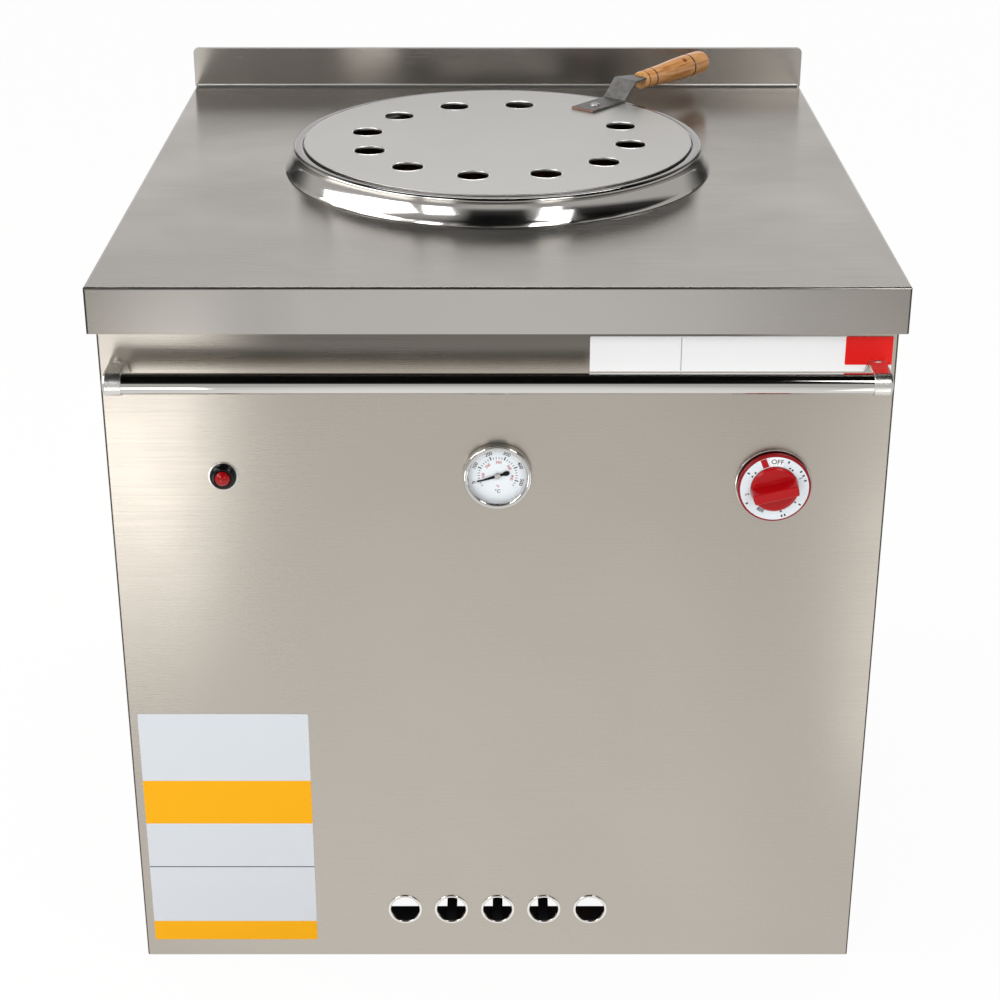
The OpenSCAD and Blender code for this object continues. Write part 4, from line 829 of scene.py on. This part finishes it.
class TANDOOR_OT_cabinet(bpy.types.Operator):
    """Finishes the cabinet's panels, the counter and the frame under them"""

    bl_idname = "tandoor.cabinet"
    bl_label = "Cabinet"

    def execute(self, context):
        finishes = context.scene.tandoor_finishes
        panel = brushed_steel("brushed_stainless_panel", finishes.panel_steel, 0.27)
        counter = brushed_steel("brushed_stainless_counter", finishes.counter_steel, 0.24)
        dress(panel, "left_panel", "right_panel", "rear_panel")
        front = brushed_steel("brushed_stainless_front", finishes.panel_steel, 0.27)
        self.burnish_rims(front)
        self.add_haze(front)
        dress(front, "front_panel")
        self.shade_counter(counter)
        dress(counter, "counter_top")
        self.fill_cove()
        # Zinc-plated steel fasteners: bright grey with a faint dull bloom
        zinc = plain_metal("zinc_plated_steel", "#B9BABB", 0.32, 3 * MM, 0.01 * MM)
        dress(zinc, "rear_screws", "rail_screws", "thermometer_nut", "igniter_nut", "valve_bracket")
        # Black powder coat: soft dark steel that hides in the cabinet's shade
        frame_coat = pebbled_skin("black_powder_coated_steel", "#1D1D1E")
        dress(frame_coat, "base_frame", "corner_posts", "platform_legs", "pot_platform")
        dress(frame_coat, "caster_pads", "burner_bars", "flame_deflector")
        return {"FINISHED"}

    def burnish_rims(self, material):
        """Makes what stands proud of the front panel's plane, its vent holes' rolled rims, smoother
        as burnished metal, and paints it lighter: a painted highlight.
        """
        tree = material.node_tree
        shader = tree.nodes["Principled BSDF"]
        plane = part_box("rating_label")[1].y - 0.15 * MM
        depth = place_axes(tree)["Y"]
        proud = add(tree, "Math", {0: depth, 1: plane}, operation="LESS_THAN").outputs[0]
        # Painted highlight: the rims get a lighter colour than the panel's steel
        tint(tree, linear("#F2EFEA"), proud, "MIX")
        dull = shader.inputs["Roughness"].links[0].from_socket
        smooth = add(tree, "Mix", {"Factor": proud, 2: dull, 3: 0.2}, data_type="FLOAT")
        tree.links.new(smooth.outputs[0], shader.inputs["Roughness"])

    def add_haze(self, material):
        """Painted shade on the front panel under the counter's apron: a darkened band 35 mm
        deep, clear of the panel's ends."""
        tree = material.node_tree
        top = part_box("name_plate")[1].z
        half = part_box("front_panel")[1].x
        axes = place_axes(tree)
        side = add(tree, "Math", {0: axes["X"]}, operation="ABSOLUTE").outputs[0]
        upper = add(
            tree,
            "MapRange",
            {"Value": axes["Z"], "From Min": top - 35 * MM, "From Max": top},
            interpolation_type="SMOOTHSTEP",
        ).outputs[0]
        inner = add(
            tree,
            "MapRange",
            {"Value": side, "From Min": half * 0.8, "From Max": half * 0.52, "To Max": 0.62},
            interpolation_type="SMOOTHSTEP",
        ).outputs[0]
        apron_shade = add(tree, "Math", {0: upper, 1: inner}, operation="MULTIPLY").outputs[0]
        # Painted shade: the panel's colour is mixed towards black in this band
        tint(tree, linear("#000000"), apron_shade, "MIX")

    def shade_counter(self, material):
        """Painted shade on the counter: its top and its splash a little darker, and its apron
        darker towards its ends."""
        tree = material.node_tree
        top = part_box("front_panel")[1].z + COUNTER_STEP
        margin = 2 * MM
        axes = place_axes(tree)
        height = axes["Z"]
        above = add(tree, "Math", {0: height, 1: top + margin}, operation="GREATER_THAN").outputs[0]
        below = add(tree, "Math", {0: height, 1: top - margin}, operation="LESS_THAN").outputs[0]
        # A ramp over 1 m of the width, with the counter's middle at 0.5
        across = add(tree, "Math", {0: axes["X"], 1: 0.5}, operation="ADD").outputs[0]
        ends = add(
            tree,
            "ValToRGB",
            {"Fac": across},
            stops=[(0.07, "#AAA8A4"), (0.3, "#FFFFFF"), (0.72, "#FFFFFF"), (0.93, "#D8D6D2")],
        ).outputs["Color"]
        top_or_apron = add(
            tree,
            "Mix",
            {"Factor": below, 6: linear("#E8E7E5"), 7: ends},
            data_type="RGBA",
        ).outputs[2]
        counter_shade = add(
            tree,
            "Mix",
            {"Factor": above, 6: top_or_apron, 7: linear("#E4E2DF")},
            data_type="RGBA",
        ).outputs[2]
        # Painted shade: the counter's colour is darkened on its top, its splash and its apron's
        # ends
        tint(tree, counter_shade)

    def fill_cove(self):
        """The inside bend where the counter turns up into its splash, a hollow strip."""
        low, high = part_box("counter_top")
        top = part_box("front_panel")[1].z + COUNTER_STEP
        back = high.y - SPLASH
        mesh = bmesh.new()
        arc = [math.radians(a) for a in range(0, 91, 10)]
        line = [(back + SINK, top - SINK)] + [
            (back - COVE + COVE * math.sin(a), top + COVE - COVE * math.cos(a)) for a in arc
        ]
        ends = [[mesh.verts.new((x, y, z)) for y, z in line] for x in (low.x + COVE, high.x - COVE)]
        count = len(line)
        mesh.faces.new(ends[0])
        mesh.faces.new(ends[1][::-1])
        for i in range(count):
            j = (i + 1) % count
            mesh.faces.new((ends[0][j], ends[0][i], ends[1][i], ends[1][j]))
        bmesh.ops.recalc_face_normals(mesh, faces=mesh.faces)
        # The welded corner, ground and buffed, in a lighter colour than the counter: a painted
        # highlight
        cove_highlight_metal = plain_metal("buffed_stainless_cove", "#F4F2EF", 0.3)
        piece("splash_cove", mesh, cove_highlight_metal, "cabinet")


class TANDOOR_OT_mouth(bpy.types.Operator):
    """Finishes the mouth ring, the clay pot, its gasket and the insulation"""

    bl_idname = "tandoor.mouth"
    bl_label = "Mouth and pot"

    def execute(self, context):
        # Spun stainless steel, mirror-polished: sharp reflections with the spinning's faint waves
        ring = plain_metal("polished_spun_stainless", "#CDCBC8", 0.09, 60 * MM, 0.05 * MM)
        self.rub_band(ring)
        dress(ring, "mouth_ring")
        soften("mouth_ring", 0.3 * MM)
        dress(fired_clay(), "clay_pot")
        # Ceramic-fibre felt: white, soft and dusty, with fibres about 2 mm long
        felt = mottled_surface("ceramic_fibre_felt", "#D9D5CA", "#F1EEE6", 2 * MM, 0.5 * MM)
        dress(felt, "rim_gasket")
        # Loose expanded mineral: pale gold grains about 4 mm across
        grains = mottled_surface("expanded_mineral_grains", "#A89468", "#D9C79A", 4 * MM, 2 * MM)
        dress(grains, "insulation_fill")
        return {"FINISHED"}

    def rub_band(self, material):
        """The ring's level band beside the lid, painted a darker grey: a painted reflection of the
        dark room above it.
        """
        tree = material.node_tree
        shader = tree.nodes["Principled BSDF"]
        normal = add(tree, "NewGeometry").outputs["Normal"]
        level = add(tree, "SeparateXYZ", {"Vector": normal}).outputs["Z"]
        level_reflection = add(
            tree,
            "ValToRGB",
            {"Fac": level},
            stops=[(0.82, "#CDCBC8"), (0.95, "#8C8A88")],
        ).outputs["Color"]
        # Painted reflection: faces of the ring that are level get a darker grey
        tree.links.new(level_reflection, shader.inputs["Base Color"])


class TANDOOR_OT_lid(bpy.types.Operator):
    """Finishes the lid, its strap, its rivet and its wooden handle"""

    bl_idname = "tandoor.lid"
    bl_label = "Lid"

    def execute(self, context):
        finishes = context.scene.tandoor_finishes
        # Satin stainless sheet: its short scratches hardly smear what it mirrors
        lid = brushed_steel("satin_stainless_lid", finishes.lid_steel, 0.4, 0.2, 1.1 * MM, 30 * MM)
        dress(lid, "lid_disc")
        soften("lid_disc", 0.5 * MM)
        soften("handle_strap", 0.5 * MM)
        # Aluminium rivet, hammered flat: pale, with soft highlights from the dents
        rivet = plain_metal("hammered_aluminium_rivet", "#C4C3C1", 0.34, 2 * MM, 0.02 * MM)
        dress(rivet, "handle_rivet")
        centre = middle("lid_disc")
        far = middle("handle_grip") - centre
        angle = math.atan2(far.y, far.x)
        axis = Vector((math.cos(angle), math.sin(angle), 0))
        reach = [(Vector(v.co) - centre).dot(axis) for v in nodes["handle_grip"].data.vertices]
        knot_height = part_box("handle_grip")[1].z - 3.2 * MM - centre.z
        wood = varnished_wood(angle, centre, min(reach), max(reach) - min(reach), knot_height)
        dress(wood, "handle_grip")
        foot = min((Vector(v.co) - centre).dot(axis) for v in nodes["handle_strap"].data.vertices)
        dress(strap_steel(angle, centre, foot), "handle_strap")
        self.roll_rims(centre, angle)
        return {"FINISHED"}

    def roll_rims(self, centre, angle):
        """The bright rims that punching leaves round the lid's holes, as hollow half rounds; their
        light colour is a painted highlight.
        """
        low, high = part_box("lid_disc")
        far = (high.x - low.x) / 2 - HOLE_INSET
        # Radius and rise of the rim's foot at the hole, its crown and its outer foot
        section = (
            (HOLE_R + 0.1 * MM, -SINK),
            (HOLE_R + 0.7 * MM, 0.35 * MM),
            (HOLE_R + 1.5 * MM, -SINK),
        )
        turns = [math.radians(t) for t in range(0, 360, 6)]
        mesh = bmesh.new()
        for hole in range(1, HOLES + 1):
            a = angle + hole * HOLE_STEP
            x, y = centre.x + far * math.cos(a), centre.y + far * math.sin(a)
            loops = [
                [
                    mesh.verts.new((x + r * math.cos(t), y + r * math.sin(t), high.z + rise))
                    for t in turns
                ]
                for r, rise in section
            ]
            for here, there in zip(loops, loops[1:] + loops[:1]):
                for i in range(len(turns)):
                    j = (i + 1) % len(turns)
                    mesh.faces.new((here[i], there[i], there[j], here[j]))
        bmesh.ops.recalc_face_normals(mesh, faces=mesh.faces)
        # Stainless steel, burnished by the punch, and painted lighter than the lid's steel as a
        # painted highlight
        bright = plain_metal("burnished_stainless_rim", "#F2F0ED", 0.3)
        piece("lid_hole_rims", mesh, bright, "lid")


class TANDOOR_OT_towel_rail(bpy.types.Operator):
    """Finishes the towel rail and its brackets"""

    bl_idname = "tandoor.towel_rail"
    bl_label = "Towel rail"

    def execute(self, context):
        # Chrome-plated steel tube: a mirror with the faintest haze
        dress(plain_metal("chrome_plated_steel", "#DAD8D4", 0.06), "rail_bar")
        # Cast zinc, chrome plated: satin, with the casting's skin in its highlights
        casting = plain_metal("satin_chrome_casting", "#EAE8E4", 0.27, 12 * MM, 0.01 * MM)
        dress(casting, "rail_brackets")
        return {"FINISHED"}


class TANDOOR_OT_labels(bpy.types.Operator):
    """Finishes the three labels, which carry no words"""

    bl_idname = "tandoor.labels"
    bl_label = "Labels"

    def execute(self, context):
        amber = tuple(context.scene.tandoor_finishes.label_amber)
        dress(banded_label(amber), "rating_label")
        # Printed vinyl with a clear film over it: smooth and slightly shiny
        dress(smooth_skin("white_vinyl", "#FCFDFE", 0.35), "name_plate")
        low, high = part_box("name_plate")
        half, tall = RULE_WIDTH / 2, high.z - low.z - 2 * RULE_GAP
        rule = bmesh.new()
        outline = [(-half, 0.0), (half, 0.0), (half, tall), (-half, tall)]
        print_outline(rule, outline, Vector((RULE_X, low.y, low.z + RULE_GAP)))
        # Grey ink of the plate's printed divider
        grey = smooth_skin("grey_plate_ink", "#A9ACB2", 0.5)
        piece("name_plate_rule", rule, grey, "cabinet")
        # Red vinyl: its low gloss keeps the red deep under the pale counter
        dress(smooth_skin("red_vinyl", "#E81C18", 0.4, gloss=0.2), "badge_plate")
        return {"FINISHED"}


class TANDOOR_OT_thermometer(bpy.types.Operator):
    """Finishes the thermometer and prints its dial"""

    bl_idname = "tandoor.thermometer"
    bl_label = "Thermometer"

    def execute(self, context):
        # Stainless steel case, polished bright: it mirrors the room
        polished = plain_metal("polished_stainless_case", "#D0CECB", 0.07)
        dress(polished, "thermometer_case", "thermometer_rim")
        # Drawn stainless tube: dull, with fine even streaks
        probe = plain_metal("drawn_stainless_probe", "#B4B2AF", 0.3, 4 * MM, 0.01 * MM)
        dress(probe, "thermometer_probe")
        # Enamelled aluminium dial plate: cool white with a soft sheen
        dress(smooth_skin("white_enamelled_aluminium", "#F2F8FD", 0.4), "thermometer_dial")
        # Lacquered aluminium pointer: a deep black with little shine
        lacquer = smooth_skin("black_lacquered_aluminium", "#060607", 0.4, gloss=0.2)
        dress(lacquer, "thermometer_pointer")
        # Nickel-plated brass pin: bright and slightly warm
        dress(plain_metal("nickel_plated_brass", "#D5D3CE", 0.2), "pointer_pivot")
        # Window glass, clear: only its gloss shows
        glass, *_ = finish(
            "clear_window_glass", Base_Color="#20242A", Roughness=0.03, IOR=1.5, Alpha=0.03
        )
        dress(glass, "thermometer_glass")
        self.print_dial(context.scene.tandoor_marks)
        self.ring_hub(polished)
        return {"FINISHED"}

    def print_dial(self, marks):
        """Prints the dial: degrees C in black outside, and degrees F in red inside."""
        face = middle("thermometer_dial")
        face.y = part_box("thermometer_dial")[0].y
        # Screen-printed inks: flat and matt
        black = smooth_skin("black_dial_ink", "#0C0D10", 0.5)
        red = smooth_skin("red_dial_ink", "#B8102E", 0.5)
        # The clock angle of 0 degrees C, and how far the pointer turns for each degree
        zero, turn = -107.5, 0.43
        ticks = bmesh.new()
        for degrees in range(-40, 541, 20):
            hundred = degrees % 100 == 0 and 0 <= degrees <= 500
            end, width = (23.6, 1.3) if hundred else (21.8, 0.7)
            dash(ticks, face, 19.4 * MM, end * MM, zero + turn * degrees, width * MM)
        piece("dial_ticks", ticks, black, "cabinet")
        outer = bmesh.new()
        for degrees in range(0, 501, 100):
            clock = zero + turn * degrees
            spot = on_circle(face, 27.0 * MM, clock)
            print_text(outer, str(degrees), marks.numeral, spot, math.radians(clock))
        print_text(outer, "°C", marks.numeral, on_circle(face, 19.0 * MM, 180))
        piece("dial_numerals", outer, black, "cabinet")
        inner = bmesh.new()
        for degrees in range(100, 901, 200):
            clock = zero + turn * (degrees - 32) / 1.8
            spot = on_circle(face, 15.6 * MM, clock)
            print_text(inner, str(degrees), marks.inner_numeral, spot, math.radians(clock))
        print_text(inner, "°F", marks.inner_numeral, on_circle(face, 13.2 * MM, 180))
        piece("dial_inner_numerals", inner, red, "cabinet")

    def ring_hub(self, material):
        """The polished ring pressed on the pointer round its pin, as short blocks end to end."""
        eye = middle("pointer_pivot")
        eye.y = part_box("thermometer_pointer")[0].y
        outer_r, inner_r = 3.3 * MM, 2.0 * MM
        turns = [math.radians(t) for t in range(0, 360, 12)]
        hub = bmesh.new()
        for here, there in zip(turns, turns[1:] + turns[:1]):
            corners = ((outer_r, here), (outer_r, there), (inner_r, there), (inner_r, here))
            print_outline(hub, [(r * math.sin(a), r * math.cos(a)) for r, a in corners], eye)
        bmesh.ops.remove_doubles(hub, verts=hub.verts, dist=0.001 * MM)
        piece("pointer_hub_ring", hub, material, "pointer")


class TANDOOR_OT_gas_knob(bpy.types.Operator):
    """Finishes the gas knob and prints its scale"""

    bl_idname = "tandoor.gas_knob"
    bl_label = "Gas knob"

    def execute(self, context):
        red = context.scene.tandoor_finishes.knob_red
        # Pressed steel, bright plated: a mirror with the press's slight haze
        dress(plain_metal("pressed_bright_steel", "#CFCDC8", 0.14), "knob_bezel")
        # Moulded red plastics: glossy, and deep in colour where light falls straight on
        skirt = smooth_skin("dark_red_moulding", "#8E0812", 0.25, 0.1, 0.25)
        dress(skirt, "knob_skirt")
        dress(smooth_skin("red_moulding", red, 0.22, 0.1, 0.25), "knob_grip")
        soften("knob_grip", 0.5 * MM)
        # White printed ring: cool white with a soft sheen
        dress(smooth_skin("white_printed_ring", "#DDE6EC", 0.35), "knob_scale")
        # Drawn steel rod, bright
        dress(plain_metal("bright_drawn_steel", "#B9B7B4", 0.2), "valve_spindle")
        self.print_scale(context.scene.tandoor_marks, red)
        return {"FINISHED"}

    def print_scale(self, marks, red):
        """Prints the knob's scale: its dashes and numbers, and OFF on a patch beside a red tab."""
        face = middle("knob_scale")
        face.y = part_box("knob_scale")[0].y
        # Pad-printed inks: flat and matt
        ink = smooth_skin("black_scale_ink", "#17181C", 0.5)
        grey = smooth_skin("grey_scale_ink", "#43474B", 0.5)
        # Each row of dashes: inner and outer radius, width and clock angles
        rows = (
            (32.8, 35.6, 1.8, (24, 54, 63.5, 74, 124, 158, 164, 239, 302)),
            (27.6, 29.6, 1.9, (33, 40, 125, 163, 300, 311)),
            (27.2, 31.2, 1.1, [203 + 3.2 * step for step in range(5)]),
        )
        scale = bmesh.new()
        for r_in, r_out, width, clocks in rows:
            for clock in clocks:
                dash(scale, face, r_in * MM, r_out * MM, clock, width * MM)
        for number, clock in (("1", 66), ("2", 257)):
            print_text(scale, number, 6 * MM, on_circle(face, 30 * MM, clock), math.radians(clock))
        piece("scale_marks", scale, ink, "knob")
        edge_r, foot_r = 37.2 * MM, 26.6 * MM
        reach = [math.radians(a) for a in range(-11, 17, 3)]
        outline = [(edge_r * math.sin(a), edge_r * math.cos(a)) for a in reach]
        outline += [(foot_r * math.sin(a), foot_r * math.cos(a)) for a in reach[::-1]]
        patch = bmesh.new()
        print_outline(patch, outline, face)
        # White ink of the OFF patch, brighter than the ring
        white = smooth_skin("white_printed_patch", "#F6F9FB", 0.35)
        piece("scale_off_patch", patch, white, "knob")
        word = bmesh.new()
        spot = on_circle(face, 31.6 * MM, 3.0)
        print_text(word, "OFF", marks.off_word, spot, math.radians(3), WORD)
        piece("scale_off_word", word, grey, "knob")
        tab = bmesh.new()
        dash(tab, face, 27.0 * MM, edge_r, -22, 6.8 * MM)
        # The grip's red, without its coat
        bright = smooth_skin("bright_red_moulding", red, 0.3, gloss=0.25)
        piece("scale_red_tab", tab, bright, "knob")


class TANDOOR_OT_igniter(bpy.types.Operator):
    """Finishes the igniter, its spring and its lead"""

    bl_idname = "tandoor.igniter"
    bl_label = "Igniter"

    def execute(self, context):
        # Chrome-plated washer: a sharp mirror
        dress(plain_metal("chrome_plated_washer", "#DCDAD6", 0.08), "igniter_washer")
        # Glass-filled nylon bezel, polished in the mould: glossy black
        bezel = smooth_skin("black_glass_filled_nylon", "#060607", 0.12, 0.15, 0.25)
        dress(bezel, "igniter_bezel")
        # Plain black nylon: a dull sheen
        dress(smooth_skin("black_nylon", "#121214", 0.35), "igniter_barrel")
        # Deep red acrylic: a small sharp highlight on the dome
        button = smooth_skin("deep_red_acrylic", "#96060C", 0.06, 0.3, 0.25)
        dress(button, "igniter_button")
        # Spring wire, drawn and oiled: grey with a soft gleam
        spring = plain_metal("spring_steel_wire", "#8F8D8A", 0.25)
        dress(spring, "igniter_spring", "return_spring")
        coil("igniter_spring", spring)
        coil("return_spring", spring)
        # Silicone sleeve: brick red and rubbery
        dress(smooth_skin("red_silicone_sleeve", "#B4441E", 0.55), "ignition_lead")
        # Glazed porcelain: cream white under a clear shine
        dress(smooth_skin("glazed_porcelain", "#EFEEE9", 0.12, 0.5), "spark_electrode")
        return {"FINISHED"}


class TANDOOR_OT_gas_train(bpy.types.Operator):
    """Finishes the valve, the pipes and the burner"""

    bl_idname = "tandoor.gas_train"
    bl_label = "Gas train"

    def execute(self, context):
        # Machined brass, dulled by handling
        brass = plain_metal("machined_brass", "#C9A860", 0.3, 5 * MM, 0.01 * MM)
        dress(brass, "gas_orifice", "thrust_washer", "gas_valve")
        # Black iron pipe: mill scale over steel
        dress(pebbled_skin("black_iron_pipe", "#232222"), "supply_pipe")
        # Hot-dip galvanised pipe: cloudy grey, with zinc flowers about 8 mm across
        dress(plain_metal("galvanised_steel", "#A5A7A8", 0.42, 8 * MM, 0.03 * MM), "inlet_nipple")
        # Soft aluminium tube, bent by hand: pale, with long shallow dents
        dress(plain_metal("soft_aluminium_tube", "#C6C7C8", 0.3, 20 * MM, 0.02 * MM), "feed_tube")
        # Copper tube, a little tarnished
        copper = plain_metal("tarnished_copper", "#B9774F", 0.3, 10 * MM, 0.01 * MM)
        dress(copper, "pilot_tube", "thermocouple")
        # Sand-cast iron: dark grey, pitted at the size of the sand
        iron = mottled_surface("sand_cast_iron", "#222021", "#393637", 1.2 * MM, 0.15 * MM, 0.65)
        dress(iron, "ring_burner")
        # Pressed steel, dulled by heat
        dress(plain_metal("pilot_bracket_steel", "#8E8C8A", 0.4, 6 * MM, 0.01 * MM), "pilot_burner")
        return {"FINISHED"}


STEPS = (
    TANDOOR_OT_stage,
    TANDOOR_OT_cabinet,
    TANDOOR_OT_mouth,
    TANDOOR_OT_lid,
    TANDOOR_OT_towel_rail,
    TANDOOR_OT_labels,
    TANDOOR_OT_thermometer,
    TANDOOR_OT_gas_knob,
    TANDOOR_OT_igniter,
    TANDOOR_OT_gas_train,
)


class TANDOOR_PT_panel(bpy.types.Panel):
    """Lists the steps that dress the oven, and their settings"""

    bl_label = "Clay Tandoor Oven"
    bl_idname = "TANDOOR_PT_panel"
    bl_space_type = "VIEW_3D"
    bl_region_type = "UI"
    bl_category = "Tandoor"

    def draw(self, context):
        scene = context.scene
        for group in (scene.tandoor_finishes, scene.tandoor_marks, scene.tandoor_studio):
            box = self.layout.box()
            for name in group.__annotations__:
                box.prop(group, name)
        for step in STEPS:
            self.layout.operator(step.bl_idname)


CLASSES = (TandoorFinishes, TandoorMarks, TandoorStudio, *STEPS, TANDOOR_PT_panel)


def register():
    for cls in CLASSES:
        bpy.utils.register_class(cls)
    bpy.types.Scene.tandoor_finishes = bpy.props.PointerProperty(type=TandoorFinishes)
    bpy.types.Scene.tandoor_marks = bpy.props.PointerProperty(type=TandoorMarks)
    bpy.types.Scene.tandoor_studio = bpy.props.PointerProperty(type=TandoorStudio)


def unregister():
    del bpy.types.Scene.tandoor_studio
    del bpy.types.Scene.tandoor_marks
    del bpy.types.Scene.tandoor_finishes
    for cls in reversed(CLASSES):
        bpy.utils.unregister_class(cls)


def main():
    """Registers the add-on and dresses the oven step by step."""
    register()
    bpy.ops.tandoor.stage()
    bpy.ops.tandoor.cabinet()
    bpy.ops.tandoor.mouth()
    bpy.ops.tandoor.lid()
    bpy.ops.tandoor.towel_rail()
    bpy.ops.tandoor.labels()
    bpy.ops.tandoor.thermometer()
    bpy.ops.tandoor.gas_knob()
    bpy.ops.tandoor.igniter()
    bpy.ops.tandoor.gas_train()


if __name__ == "__main__":
    main()
